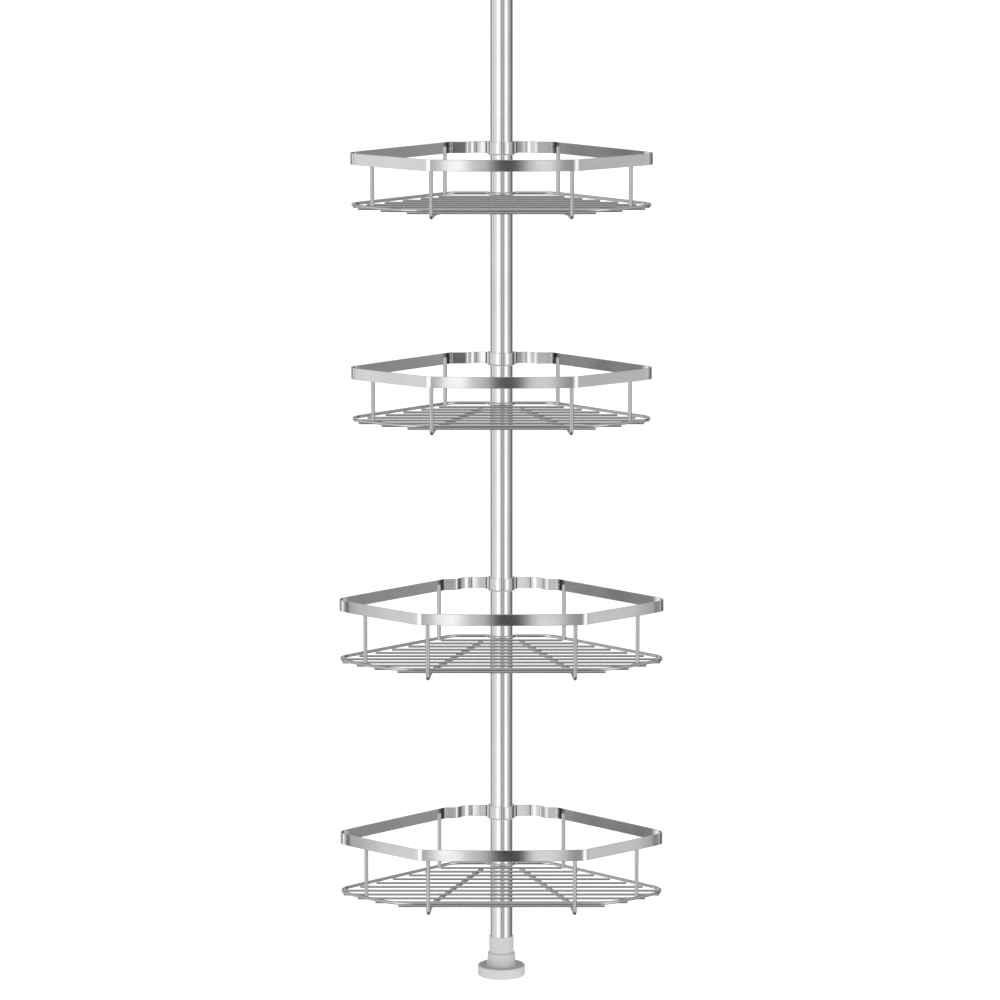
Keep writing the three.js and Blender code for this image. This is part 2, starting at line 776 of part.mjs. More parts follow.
function addShelf({ name, top, plan }) {
  const { polishedSteel, brushedSteel, darkPlastic } = MATERIALS;
  const shelf = new THREE.Group();
  shelf.position.z = top;
  const rail = stripAlong(railRoute(plan), STRIP.thickness, 0, STRIP.railHeight, true);
  const strapTop = (STRIP.strapHeight - STRIP.railHeight) / 2;
  const strap = stripAlong(strapRoute(), STRIP.thickness, strapTop, STRIP.strapHeight);
  place(shelf, name + "_lock_sleeve", lockSleeve(), darkPlastic);
  place(shelf, name + "_rail_band", rail, brushedSteel);
  place(shelf, name + "_collar_strap", strap, brushedSteel);
  place(shelf, name + "_floor_grid", floorGrid(plan), polishedSteel);
  const { frontCorner, rear, sideRun, rearRun } = railFrame(plan);
  for (const [hand, side] of [["left", -1], ["right", 1]]) {
    const prefix = name + "_" + hand;
    const sidePost = post(plan, frontCorner, sideRun, plan.sidePostReach, side);
    const rearPost = post(plan, rear, rearRun, plan.rearPostReach, side);
    place(shelf, prefix + "_front_wire", frontWire(plan, side), polishedSteel);
    place(shelf, prefix + "_side_post", sidePost, polishedSteel);
    place(shelf, prefix + "_rear_post", rearPost, polishedSteel);
  }
  unit.add(shelf);
}

addPole();
addInnerPole();
SHELVES.forEach(addShelf);

export default unit;
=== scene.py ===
"""Looks of a tension pole shelf unit: a polished pole on a plastic foot, and four shelves of steel strip and wire."""

import logging
import math
from collections.abc import Iterable, Sequence
from dataclasses import dataclass, field, replace
from enum import Enum

import bmesh
import bpy
from mathutils import Matrix, Vector


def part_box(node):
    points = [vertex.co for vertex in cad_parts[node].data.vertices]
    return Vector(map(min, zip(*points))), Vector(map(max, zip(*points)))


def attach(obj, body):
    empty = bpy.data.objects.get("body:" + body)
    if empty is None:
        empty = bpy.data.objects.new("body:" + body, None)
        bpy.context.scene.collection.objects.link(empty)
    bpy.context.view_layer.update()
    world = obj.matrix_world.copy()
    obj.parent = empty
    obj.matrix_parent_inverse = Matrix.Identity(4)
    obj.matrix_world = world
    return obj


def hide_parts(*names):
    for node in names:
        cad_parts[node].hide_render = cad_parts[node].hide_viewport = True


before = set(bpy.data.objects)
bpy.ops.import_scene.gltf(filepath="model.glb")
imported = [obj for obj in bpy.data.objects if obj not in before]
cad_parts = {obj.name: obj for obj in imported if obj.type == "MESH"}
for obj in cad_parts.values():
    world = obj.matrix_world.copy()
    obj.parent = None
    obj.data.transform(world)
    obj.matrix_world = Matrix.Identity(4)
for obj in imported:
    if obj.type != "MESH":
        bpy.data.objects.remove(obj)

MM = 0.001
UP = Vector((0.0, 0.0, 1.0))
SHARP_ANGLE = math.radians(38)
MERGE_DISTANCE = 0.002

log = logging.getLogger("shelf_unit")


class Slot(Enum):
    """The record's material slots."""

    POLISHED_STEEL = "polished_steel"
    BRUSHED_STEEL = "brushed_steel"
    SPRING_STEEL = "spring_steel"
    GREY_PLASTIC = "grey_plastic"
    DARK_PLASTIC = "dark_plastic"
    RUBBER = "rubber"


class Side(Enum):
    """The two hands of a shelf, seen from the front."""

    LEFT = -1
    RIGHT = 1


# Node trees


class Bench:
    """A node tree being wired."""

    def __init__(self, tree: bpy.types.NodeTree) -> None:
        """Keeps the tree."""
        self.tree = tree

    def node(self, kind: str, **settings: object) -> bpy.types.Node:
        """Adds a node.

        Args:
            kind: Blender's type name of the node, without its ShaderNode prefix.
            settings: properties of the node by name.

        Returns:
            The new node.
        """
        prefix = "" if kind.startswith("Node") else "ShaderNode"
        made = self.tree.nodes.new(prefix + kind)
        for name, value in settings.items():
            setattr(made, name, value)
        return made

    def feed(self, socket: bpy.types.NodeSocket, source: object) -> None:
        """Links a socket to its source, or sets it to a plain value."""
        if isinstance(source, bpy.types.NodeSocket):
            self.tree.links.new(source, socket)
        else:
            socket.default_value = source

    def math(self, operation: str, *inputs: object, clamp: bool = False) -> bpy.types.NodeSocket:
        """Adds a Math node.

        Args:
            operation: the node's operation.
            inputs: sockets or numbers, in order.
            clamp: whether the result is held between 0 and 1.

        Returns:
            The result's socket.
        """
        made = self.node("Math", operation=operation, use_clamp=clamp)
        for socket, source in zip(made.inputs, inputs):
            self.feed(socket, source)
        return made.outputs[0]

    def ramp(self, value: object, low: float, high: float, to_low: object = 0.0, to_high: object = 1.0) -> bpy.types.NodeSocket:
        """Maps a value smoothly from one range to another.

        Args:
            value: the socket or number to map.
            low: the value that gives to_low.
            high: the value that gives to_high.
            to_low: the result at low.
            to_high: the result at high.

        Returns:
            The result's socket.
        """
        made = self.node("MapRange", interpolation_type="SMOOTHSTEP")
        for name, source in zip(("Value", "From Min", "From Max", "To Min", "To Max"), (value, low, high, to_low, to_high)):
            self.feed(made.inputs[name], source)
        return made.outputs["Result"]

    def mix(self, factor: object, first: object, second: object, colour: bool = False) -> bpy.types.NodeSocket:
        """Mixes two numbers or two colours.

        Args:
            factor: how much of the second is taken.
            first: the socket or value at factor 0.
            second: the socket or value at factor 1.
            colour: whether they are colours.

        Returns:
            The result's socket.
        """
        made = self.node("Mix", data_type="RGBA" if colour else "FLOAT")
        slots = [socket for socket in made.inputs if socket.enabled]
        for socket, source in zip(slots, (factor, first, second)):
            self.feed(socket, source)
        return next(socket for socket in made.outputs if socket.enabled)

    def noise(self, vector: bpy.types.NodeSocket, scale: object, detail: float = 3.0, roughness: float = 0.5) -> bpy.types.NodeSocket:
        """Adds a noise pattern.

        Args:
            vector: where the pattern is read.
            scale: cells a metre.
            detail: octaves of the pattern.
            roughness: weight of the finer octaves.

        Returns:
            The socket of its value.
        """
        made = self.node("TexNoise", noise_dimensions="3D")
        self.feed(made.inputs["Vector"], vector)
        self.feed(made.inputs["Scale"], scale)
        made.inputs["Detail"].default_value = detail
        made.inputs["Roughness"].default_value = roughness
        return made.outputs["Fac"]


class Effect:
    """A shader node group that several finishes share. It is built once, on first use."""

    name = "effect"
    inputs: dict[str, object] = {}
    outputs: tuple[str, ...] = ()

    @classmethod
    def tree(cls) -> bpy.types.NodeTree:
        """Gives the group's tree, and builds it if it isn't there yet."""
        found = bpy.data.node_groups.get(cls.name)
        if found:
            return found
        made = bpy.data.node_groups.new(cls.name, "ShaderNodeTree")
        for name, value in cls.inputs.items():
            kind = "NodeSocketVector" if value is None else "NodeSocketFloat"
            socket = made.interface.new_socket(name, in_out="INPUT", socket_type=kind)
            if value is not None:
                socket.default_value = value
        for name in cls.outputs:
            made.interface.new_socket(name, in_out="OUTPUT", socket_type="NodeSocketFloat")
        bench = Bench(made)
        given = bench.node("NodeGroupInput").outputs
        results = bench.node("NodeGroupOutput").inputs
        for name, value in cls.wire(bench, given).items():
            bench.feed(results[name], value)
        return made

    @classmethod
    def wire(cls, bench: Bench, given: bpy.types.NodeOutputs) -> dict[str, bpy.types.NodeSocket]:
        """Wires the group and returns its results by name."""
        raise NotImplementedError

    @classmethod
    def use(cls, bench: Bench, **values: object) -> bpy.types.NodeOutputs:
        """Places the group in a material.

        Args:
            bench: the material's tree.
            values: sockets or numbers for the group's inputs, by their names in lower case.

        Returns:
            The group node's outputs.
        """
        made = bench.node("Group")
        made.node_tree = cls.tree()
        for name in cls.inputs:
            key = name.lower().replace(" ", "_")
            if key in values:
                bench.feed(made.inputs[name], values[key])
        return made.outputs


class BrushedGrain(Effect):
    """Long fine scratches left by a brush or a polishing belt."""

    name = "brushed_grain"
    inputs = {"Vector": None, "Width X": 60.0, "Width Y": 60.0, "Width Z": 6000.0}
    outputs = ("Height", "Sheen")

    @classmethod
    def wire(cls, bench: Bench, given: bpy.types.NodeOutputs) -> dict[str, bpy.types.NodeSocket]:
        """Stretches two noises along the strokes of the brush."""
        scale = bench.node("CombineXYZ")
        for axis in "XYZ":
            bench.feed(scale.inputs[axis], given["Width " + axis])
        stretched = bench.node("VectorMath", operation="MULTIPLY")
        bench.feed(stretched.inputs[0], given["Vector"])
        bench.feed(stretched.inputs[1], scale.outputs[0])
        fine = bench.noise(stretched.outputs[0], 1.0, detail=4.0, roughness=0.62)
        broad = bench.noise(stretched.outputs[0], 0.21, detail=2.0)
        return {"Height": bench.mix(0.3, fine, broad), "Sheen": broad}


class Handling(Effect):
    """Cloudy patches of a surface that has been wiped and handled."""

    name = "handling"
    inputs = {"Vector": None, "Scale": 25.0}
    outputs = ("Clouds", "Specks")

    @classmethod
    def wire(cls, bench: Bench, given: bpy.types.NodeOutputs) -> dict[str, bpy.types.NodeSocket]:
        """Makes soft clouds, and small sparse specks inside them."""
        clouds = bench.noise(given["Vector"], given["Scale"], detail=4.0)
        fine = bench.noise(given["Vector"], bench.math("MULTIPLY", given["Scale"], 34.0), detail=2.0)
        return {"Clouds": bench.ramp(clouds, 0.3, 0.7), "Specks": bench.ramp(fine, 0.66, 0.76)}


class EdgeWear(Effect):
    """A mask of the worn outer edges of a piece, broken up by a noise."""

    name = "edge_wear"
    inputs = {"Vector": None, "Start": 0.53, "End": 0.6, "Scale": 400.0}
    outputs = ("Mask",)

    @classmethod
    def wire(cls, bench: Bench, given: bpy.types.NodeOutputs) -> dict[str, bpy.types.NodeSocket]:
        """Takes where the mesh is sharply convex, and breaks it up."""
        sharpness = bench.node("NewGeometry").outputs["Pointiness"]
        made = bench.node("MapRange")
        for name, source in (("Value", sharpness), ("From Min", given["Start"]), ("From Max", given["End"])):
            bench.feed(made.inputs[name], source)
        chips = bench.noise(given["Vector"], given["Scale"], detail=3.0)
        return {"Mask": bench.math("MULTIPLY", made.outputs[0], bench.ramp(chips, 0.35, 0.6), clamp=True)}


class PaintedCornerReflection(Effect):
    """A painted dark reflection: a dark patch on the rail's inside corner next to an upright's weld, standing in for
    the upright's dark reflection there, at the same reach on both hands.
    """

    name = "painted_corner_reflection"
    inputs = {"Vector": None, "Reach": 0.0, "Depth": 0.0, "Size": 0.0075}
    outputs = ("Mask",)

    @classmethod
    def wire(cls, bench: Bench, given: bpy.types.NodeOutputs) -> dict[str, bpy.types.NodeSocket]:
        """Fades the painted dark reflection out from the weld spot in plan, with a ragged edge."""
        place = bench.node("SeparateXYZ")
        bench.feed(place.inputs[0], given["Vector"])
        across = bench.math("SUBTRACT", bench.math("ABSOLUTE", place.outputs["X"]), given["Reach"])
        along = bench.math("ADD", place.outputs["Y"], given["Depth"])
        squares = bench.math("ADD", bench.math("MULTIPLY", across, across), bench.math("MULTIPLY", along, along))
        ragged = bench.math("MULTIPLY", bench.noise(given["Vector"], 420.0, detail=2.0), given["Size"])
        distance = bench.math("ADD", bench.math("SQRT", squares), bench.math("MULTIPLY", ragged, 0.8))
        return {"Mask": bench.ramp(distance, bench.math("MULTIPLY", given["Size"], 1.6), bench.math("MULTIPLY", given["Size"], 0.5))}


class MouldTexture(Effect):
    """The fine spark-eroded texture of a plastic mould, with faint flow lines."""

    name = "mould_texture"
    inputs = {"Vector": None, "Grain": 2200.0}
    outputs = ("Height", "Flow")

    @classmethod
    def wire(cls, bench: Bench, given: bpy.types.NodeOutputs) -> dict[str, bpy.types.NodeSocket]:
        """Adds a cell pattern and a noise of about the same size."""
        cells = bench.node("TexVoronoi", feature="SMOOTH_F1")
        bench.feed(cells.inputs["Vector"], given["Vector"])
        bench.feed(cells.inputs["Scale"], given["Grain"])
        fine = bench.noise(given["Vector"], given["Grain"], detail=2.0)
        flow = bench.noise(given["Vector"], 38.0, detail=3.0)
        height = bench.math("ADD", bench.math("MULTIPLY", cells.outputs["Distance"], 0.6), fine)
        return {"Height": height, "Flow": flow}


# Finishes


@dataclass(frozen=True)
class Finish:
    """What all finishes share: the slot, the colour and the gloss."""

    slot: Slot
    colour: tuple[float, float, float]
    roughness: float

    def material(self) -> bpy.types.Material:
        """Gives the finish's material, and builds it if it isn't there yet."""
        name = "finish_" + self.key()
        found = bpy.data.materials.get(name)
        if found:
            return found
        made = bpy.data.materials.new(name)
        made.use_nodes = True
        made.diffuse_color = (*self.colour, 1.0)
        bench = Bench(made.node_tree)
        shader = made.node_tree.nodes["Principled BSDF"]
        place = bench.node("TexCoord").outputs["Object"]
        self.wire(bench, shader, place)
        return made

    def key(self) -> str:
        """Names the finish."""
        return self.slot.value

    def wire(self, bench: Bench, shader: bpy.types.Node, place: bpy.types.NodeSocket) -> None:
        """Wires the material's nodes."""
        raise NotImplementedError

    def shades(self, bench: Bench, dark: float, factor: bpy.types.NodeSocket) -> bpy.types.NodeSocket:
        """Mixes the colour with a darker shade of itself.

        Args:
            bench: the material's tree.
            dark: brightness of the darker shade, as a share of the colour's.
            factor: where the full colour is.

        Returns:
            The mixed colour's socket.
        """
        full = (*self.colour, 1.0)
        darker = (*(channel * dark for channel in self.colour), 1.0)
        return bench.mix(factor, darker, full, colour=True)

    def raise_surface(self, bench: Bench, shader: bpy.types.Node, height: object, depth: float, strength: float) -> None:
        """Feeds a height pattern to the shader's normal.

        Args:
            bench: the material's tree.
            shader: the shader that takes the normal.
            height: the pattern's socket.
            depth: the pattern's real depth, in metres.
            strength: how much of it is felt.
        """
        bump = bench.node("Bump")
        bump.inputs["Strength"].default_value = strength
        bump.inputs["Distance"].default_value = depth
        bench.feed(bump.inputs["Height"], height)
        bench.feed(shader.inputs["Normal"], bump.outputs["Normal"])


@dataclass(frozen=True)
class SteelFinish(Finish):
    """Bare steel with the strokes of its last brushing or polishing."""

    grain: tuple[float, float, float] = (60.0, 60.0, 6000.0)
    depth: float = 2e-6
    strength: float = 0.4
    spread: float = 0.08
    tint: float = 0.9
    variant: str = ""
    # Where a painted dark reflection sits on the rail, as reach and depth in metres; None for none.
    weld: tuple[float, float] | None = None

    def key(self) -> str:
        """Names the finish, with its variant."""
        return self.slot.value + ("_" + self.variant if self.variant else "")

    def wire(self, bench: Bench, shader: bpy.types.Node, place: bpy.types.NodeSocket) -> None:
        """Wires strokes, clouds and worn edges into the steel, and a painted dark reflection where a spot is given."""
        shader.inputs["Metallic"].default_value = 1.0
        width_x, width_y, width_z = self.grain
        grain = BrushedGrain.use(bench, vector=place, width_x=width_x, width_y=width_y, width_z=width_z)
        handled = Handling.use(bench, vector=place, scale=22.0)
        worn = EdgeWear.use(bench, vector=place)
        clouded = bench.mix(0.5, grain["Sheen"], handled["Clouds"])
        colour = self.shades(bench, self.tint, clouded)
        # Painted reflection: a near-black patch at the upright's weld spot, standing in for the upright's dark
        # reflection in the rail's inside corner.
        if self.weld:
            dark_reflection_mask = PaintedCornerReflection.use(bench, vector=place, reach=self.weld[0], depth=self.weld[1])["Mask"]
            colour = bench.mix(bench.math("MULTIPLY", dark_reflection_mask, 0.93), colour, (0.03, 0.03, 0.032, 1.0), colour=True)
        bench.feed(shader.inputs["Base Color"], colour)
        rough = bench.ramp(clouded, 0.2, 0.8, self.roughness + self.spread, self.roughness)
        bench.feed(shader.inputs["Roughness"], bench.math("ADD", rough, bench.math("MULTIPLY", worn["Mask"], 0.1)))
        self.raise_surface(bench, shader, grain["Height"], self.depth, self.strength)


@dataclass(frozen=True)
class PlasticFinish(Finish):
    """Moulded plastic with a fine matte texture, rubbed smooth and paler at its edges."""

    grain: float = 2200.0
    depth: float = 1.2e-5
    worn: tuple[float, float, float] = (0.8, 0.8, 0.8)

    def wire(self, bench: Bench, shader: bpy.types.Node, place: bpy.types.NodeSocket) -> None:
        """Wires the mould's texture, handling and worn edges into the plastic."""
        texture = MouldTexture.use(bench, vector=place, grain=self.grain)
        handled = Handling.use(bench, vector=place, scale=60.0)
        worn = EdgeWear.use(bench, vector=place, scale=250.0)
        body = self.shades(bench, 0.93, bench.mix(0.5, texture["Flow"], handled["Clouds"]))
        speckled = bench.mix(bench.math("MULTIPLY", handled["Specks"], 0.25), body, (*self.worn, 1.0), colour=True)
        edged = bench.mix(bench.math("MULTIPLY", worn["Mask"], 0.35), speckled, (*self.worn, 1.0), colour=True)
        bench.feed(shader.inputs["Base Color"], edged)
        rough = bench.ramp(handled["Clouds"], 0.0, 1.0, self.roughness + 0.06, self.roughness - 0.04)
        bench.feed(shader.inputs["Roughness"], bench.math("SUBTRACT", rough, bench.math("MULTIPLY", worn["Mask"], 0.12)))
        self.raise_surface(bench, shader, texture["Height"], self.depth, 0.5)


POLISHED_POLE = SteelFinish(Slot.POLISHED_STEEL, (0.8, 0.805, 0.81), 0.08, grain=(900.0, 900.0, 14.0), depth=1e-6, strength=0.06, spread=0.03, variant="pole")
POLISHED_WIRE = SteelFinish(Slot.POLISHED_STEEL, (0.62, 0.622, 0.628), 0.13, grain=(420.0, 420.0, 420.0), depth=2e-6, strength=0.1)
# A darker copy of the polished wire for the uprights and the legs: painted shade, standing in for the darker
# reflections and the shade that these same wires show.
DARKENED_UPRIGHT_WIRE = SteelFinish(Slot.POLISHED_STEEL, (0.53, 0.532, 0.538), 0.08, grain=(420.0, 420.0, 420.0), depth=1.5e-6, strength=0.06, variant="upright")
BRUSHED_STRIP = SteelFinish(Slot.BRUSHED_STEEL, (0.79, 0.795, 0.8), 0.09, grain=(28.0, 28.0, 5200.0), depth=3e-6, strength=0.12, spread=0.03, tint=0.84)
SPRING_WIRE = SteelFinish(Slot.SPRING_STEEL, (0.5, 0.5, 0.51), 0.3, grain=(700.0, 700.0, 700.0), tint=0.75)
GREY_PLASTIC = PlasticFinish(Slot.GREY_PLASTIC, (0.56, 0.56, 0.565), 0.52)
DARK_PLASTIC = PlasticFinish(Slot.DARK_PLASTIC, (0.035, 0.036, 0.038), 0.5, worn=(0.16, 0.16, 0.17))
RUBBER = PlasticFinish(Slot.RUBBER, (0.3, 0.3, 0.305), 0.82, grain=1400.0, depth=2e-5, worn=(0.42, 0.42, 0.42))


# Shaping


@dataclass(frozen=True)
class Corner:
    """A corner of a route, and the radius of the bend that rounds it."""

    point: Vector
    radius: float = 0.0


@dataclass(frozen=True)
class Bend:
    """A bend of a route: an arc from start to end round a centre."""

    start: Vector
    end: Vector
    centre: Vector
    axis: Vector
    turn: float
    radius: float

    def steps(self) -> int:
        """Gives how many straight steps show the arc as smooth."""
        by_angle = self.turn / math.radians(7.5)
        by_length = self.turn * self.radius / 7.0
        return max(2, math.ceil(max(by_angle, by_length)))


@dataclass(frozen=True)
class Route:
    """The centreline of a bar: straight runs between rounded corners."""

    corners: tuple[Corner, ...]
    closed: bool = False

    def bends(self) -> list[Bend]:
        """Works out the arc at each rounded corner."""
        count = len(self.corners)
        made = []
        for index, corner in enumerate(self.corners):
            if corner.radius == 0.0:
                continue
            back = (self.corners[index - 1].point - corner.point).normalized()
            ahead = (self.corners[(index + 1) % count].point - corner.point).normalized()
            turn = math.pi - back.angle(ahead)
            inset = corner.radius * math.tan(turn / 2)
            centre = corner.point + (back + ahead).normalized() * corner.radius / math.cos(turn / 2)
            axis = ahead.cross(back).normalized()
            made.append(Bend(corner.point + back * inset, corner.point + ahead * inset, centre, axis, turn, corner.radius))
        return made

    def reach_at(self, depth: float) -> float:
        """Gives how far a closed route reaches to the right at a depth, counted forwards."""
        found = []
        bends = self.bends()
        for index, bend in enumerate(bends):
            last = bends[index - 1].end
            for start, end in ((last, bend.start), (bend.start, bend.end)):
                if (start.y + depth) * (end.y + depth) > 0.0 or start.y == end.y:
                    continue
                if end is bend.end:
                    sag = math.sqrt(max(0.0, bend.radius**2 - (depth + bend.centre.y) ** 2))
                    found.append(bend.centre.x + sag)
                else:
                    found.append(start.x + (end.x - start.x) * (start.y + depth) / (start.y - end.y))
        return max(found)

    def first_direction(self) -> Vector:
        """Gives the direction in which the route sets off."""
        if self.closed:
            return (self.corners[0].point - self.corners[-1].point).normalized()
        return (self.corners[1].point - self.corners[0].point).normalized()


@dataclass(frozen=True)
class RoundBar:
    """The section of round wire."""

    radius: float
    sides: int = 16

    def draw(self) -> bmesh.types.BMesh:
        """Draws the section round the origin, in the XY plane."""
        drawing = bmesh.new()
        bmesh.ops.create_circle(drawing, segments=self.sides, radius=self.radius)
        return drawing


@dataclass(frozen=True)
class FlatBar:
    """The section of flat strip with rounded edges."""

    thickness: float
    height: float
    edge: float

    def draw(self) -> bmesh.types.BMesh:
        """Draws the section round the origin, in the XY plane, with its height along Y."""
        drawing = bmesh.new()
        square = Matrix.Rotation(math.pi / 4, 4, "Z")
        bmesh.ops.create_circle(drawing, segments=4, radius=math.sqrt(0.5), matrix=square)
        bmesh.ops.scale(drawing, vec=(self.thickness, self.height, 1.0), verts=drawing.verts[:])
        bmesh.ops.bevel(drawing, geom=drawing.verts[:], offset=self.edge, offset_type="OFFSET", segments=3, profile=0.5, affect="VERTICES", material=-1)
        hold_flats(drawing, drawing.edges[:], self.height / 2, 0.4)
        return drawing


@dataclass(frozen=True)
class Profile:
    """Half of a turned piece's section: corners as (radius, height, rounding)."""

    corners: tuple[tuple[float, float, float], ...]
    closed: bool = False


def verts_of(edges: Iterable[bmesh.types.BMEdge]) -> list[bmesh.types.BMVert]:
    """Gives the vertices of some edges, each once."""
    return list({vert for edge in edges for vert in edge.verts})


def hold_flats(work: bmesh.types.BMesh, edges: Iterable[bmesh.types.BMEdge], longest: float, margin: float) -> None:
    """Cuts long edges near both ends, so that the shading of what is drawn from them stays flat in between.

    Args:
        work: the mesh.
        edges: the edges to look at.
        longest: edges up to this length are left as they are.
        margin: how far from its ends an edge is cut.
    """
    for edge in edges:
        if edge.calc_length() <= longest:
            continue
        start, end = (vert.co.copy() for vert in edge.verts)
        inset = (end - start).normalized() * min(margin, (end - start).length / 4)
        made = bmesh.ops.subdivide_edges(work, edges=[edge], cuts=2)["geom_inner"]
        cuts = [item for item in made if isinstance(item, bmesh.types.BMVert)]
        cuts.sort(key=lambda vert: (vert.co - start).length)
        cuts[0].co = start + inset
        cuts[1].co = end - inset


class Workpiece:
    """A mesh on the bench, in millimetres, shaped with bmesh operators."""

    def __init__(self) -> None:
        """Starts an empty mesh."""
        self.work = bmesh.new()

    def _lay(self, section: RoundBar | FlatBar, matrix: Matrix) -> list[bmesh.types.BMEdge]:
        """Lays a section on the bench, turned into place, and returns its ring of edges."""
        drawing = section.draw()
        drawing.transform(matrix)
        return self._add(drawing)

    def _add(self, drawing: bmesh.types.BMesh) -> list[bmesh.types.BMEdge]:
        """Adds what is on another bench to this one, and returns its edges."""
        sheet = bpy.data.meshes.new("sheet")
        drawing.to_mesh(sheet)
        drawing.free()
        before = set(self.work.edges)
        self.work.from_mesh(sheet)
        bpy.data.meshes.remove(sheet)
        return [edge for edge in self.work.edges if edge not in before]

    def _extrude(self, ring: list[bmesh.types.BMEdge], shift: Vector) -> list[bmesh.types.BMEdge]:
        """Pulls a ring of edges out into a wall.

        Args:
            ring: the edges to pull.
            shift: how far they go.

        Returns:
            The ring at the far end.
        """
        made = bmesh.ops.extrude_edge_only(self.work, edges=ring)["geom"]
        far = [item for item in made if isinstance(item, bmesh.types.BMEdge) and item.is_boundary]
        bmesh.ops.translate(self.work, vec=shift, verts=verts_of(far))
        return far

    def _spin(self, ring: list[bmesh.types.BMEdge], bend: Bend) -> list[bmesh.types.BMEdge]:
        """Spins a ring of edges through a bend and returns the ring at its end."""
        made = bmesh.ops.spin(
            self.work,
            geom=ring + verts_of(ring),
            cent=bend.centre,
            axis=bend.axis,
            dvec=Vector(),
            angle=bend.turn,
            steps=bend.steps(),
            use_merge=False,
            use_duplicate=False,
        )
        return [item for item in made["geom_last"] if isinstance(item, bmesh.types.BMEdge)]

    def _run(self, ring: list[bmesh.types.BMEdge], shift: Vector) -> list[bmesh.types.BMEdge]:
        """Pulls a ring along a straight run, with extra rings near both ends that keep the run's shading straight."""
        length = shift.length
        if length < MERGE_DISTANCE:
            return ring
        hold = min(0.6, length / 4)
        for share in (hold / length, 1 - 2 * hold / length, hold / length):
            ring = self._extrude(ring, shift * share)
        return ring

    def _taper(self, ring: list[bmesh.types.BMEdge], centre: Vector, share: float) -> None:
        """Draws a ring in towards a centre."""
        there = Matrix.Translation(-centre)
        bmesh.ops.scale(self.work, vec=(share, share, share), space=there, verts=verts_of(ring))

    def bar(self, section: RoundBar | FlatBar, route: Route, upright: Vector, dome: float = 0.0) -> "Workpiece":
        """Bends a bar along a route.

        Args:
            section: the bar's section.
            route: its centreline.
            upright: the direction of the section's height at the start.
            dome: how far the rounding of an open bar's two ends reaches along it.

        Returns:
            The workpiece itself.
        """
        bends = route.bends()
        along = route.first_direction()
        start = bends[-1].end if route.closed else route.corners[0].point
        sideways = upright.cross(along).normalized()
        turned = Matrix((sideways, along.cross(sideways), along)).transposed().to_4x4()
        first = self._lay(section, Matrix.Translation(start) @ turned)
        ring = first
        here = start
        if dome:
            self._taper(ring, here, 0.55)
            bmesh.ops.edgeloop_fill(self.work, edges=ring)
            for reach, share in ((0.3, 0.85 / 0.55), (0.7, 1 / 0.85)):
                here = here + along * dome * reach
                ring = self._extrude(ring, along * dome * reach)
                self._taper(ring, here, share)
        for bend in bends:
            ring = self._run(ring, bend.start - here)
            ring = self._spin(ring, bend)
            here = bend.end
        if route.closed:
            bmesh.ops.remove_doubles(self.work, verts=verts_of(ring) + verts_of(first), dist=0.05)
            return self
        last = route.corners[-1].point
        along = (last - here).normalized()
        ring = self._run(ring, last - here - along * dome)
        here = last - along * dome
        if dome:
            for reach, share in ((0.7, 0.85), (0.3, 0.55 / 0.85)):
                here = here + along * dome * reach
                ring = self._extrude(ring, along * dome * reach)
                self._taper(ring, here, share)
        bmesh.ops.edgeloop_fill(self.work, edges=ring)
        if not dome:
            bmesh.ops.edgeloop_fill(self.work, edges=first)
        return self

    def turn(self, profile: Profile, steps: int = 96) -> "Workpiece":
        """Turns a profile round the pole's axis.

        Args:
            profile: half of the section.
            steps: faces round the piece.

        Returns:
            The workpiece itself.
        """
        line = bmesh.new()
        verts = [line.verts.new((radius, 0.0, height)) for radius, height, _ in profile.corners]
        for near, far in zip(verts, verts[1:]):
            line.edges.new((near, far))
        if profile.closed:
            line.edges.new((verts[-1], verts[0]))
        for vert, (_, _, rounding) in zip(verts, profile.corners):
            if rounding:
                bmesh.ops.bevel(line, geom=[vert], offset=rounding, offset_type="OFFSET", segments=4, profile=0.5, affect="VERTICES", material=-1)
        hold_flats(line, line.edges[:], 3.0, 0.5)
        bmesh.ops.spin(
            line,
            geom=line.verts[:] + line.edges[:],
            cent=Vector(),
            axis=UP,
            dvec=Vector(),
            angle=math.tau,
            steps=steps,
            use_merge=True,
            use_duplicate=False,
        )
        bmesh.ops.remove_doubles(line, verts=line.verts[:], dist=MERGE_DISTANCE)
        self._add(line)
        return self

    def bead(self, place: Vector, radii: tuple[float, float, float]) -> "Workpiece":
        """Sets a small weld bead at a place and returns the workpiece itself."""
        matrix = Matrix.Translation(place) @ Matrix.Diagonal((*radii, 1.0))
        bmesh.ops.create_icosphere(self.work, subdivisions=2, radius=1.0, matrix=matrix)
        return self

    def mirror(self, side: Side) -> "Workpiece":
        """Turns a right-hand piece into the left-hand one where that is asked, and returns the workpiece itself."""
        if side is Side.LEFT:
            bmesh.ops.scale(self.work, vec=(-1.0, 1.0, 1.0), verts=self.work.verts[:])
        return self

    def lift(self, height: float) -> "Workpiece":
        """Moves all that is on the bench up by a height and returns the workpiece itself."""
        bmesh.ops.translate(self.work, vec=UP * height, verts=self.work.verts[:])
        return self

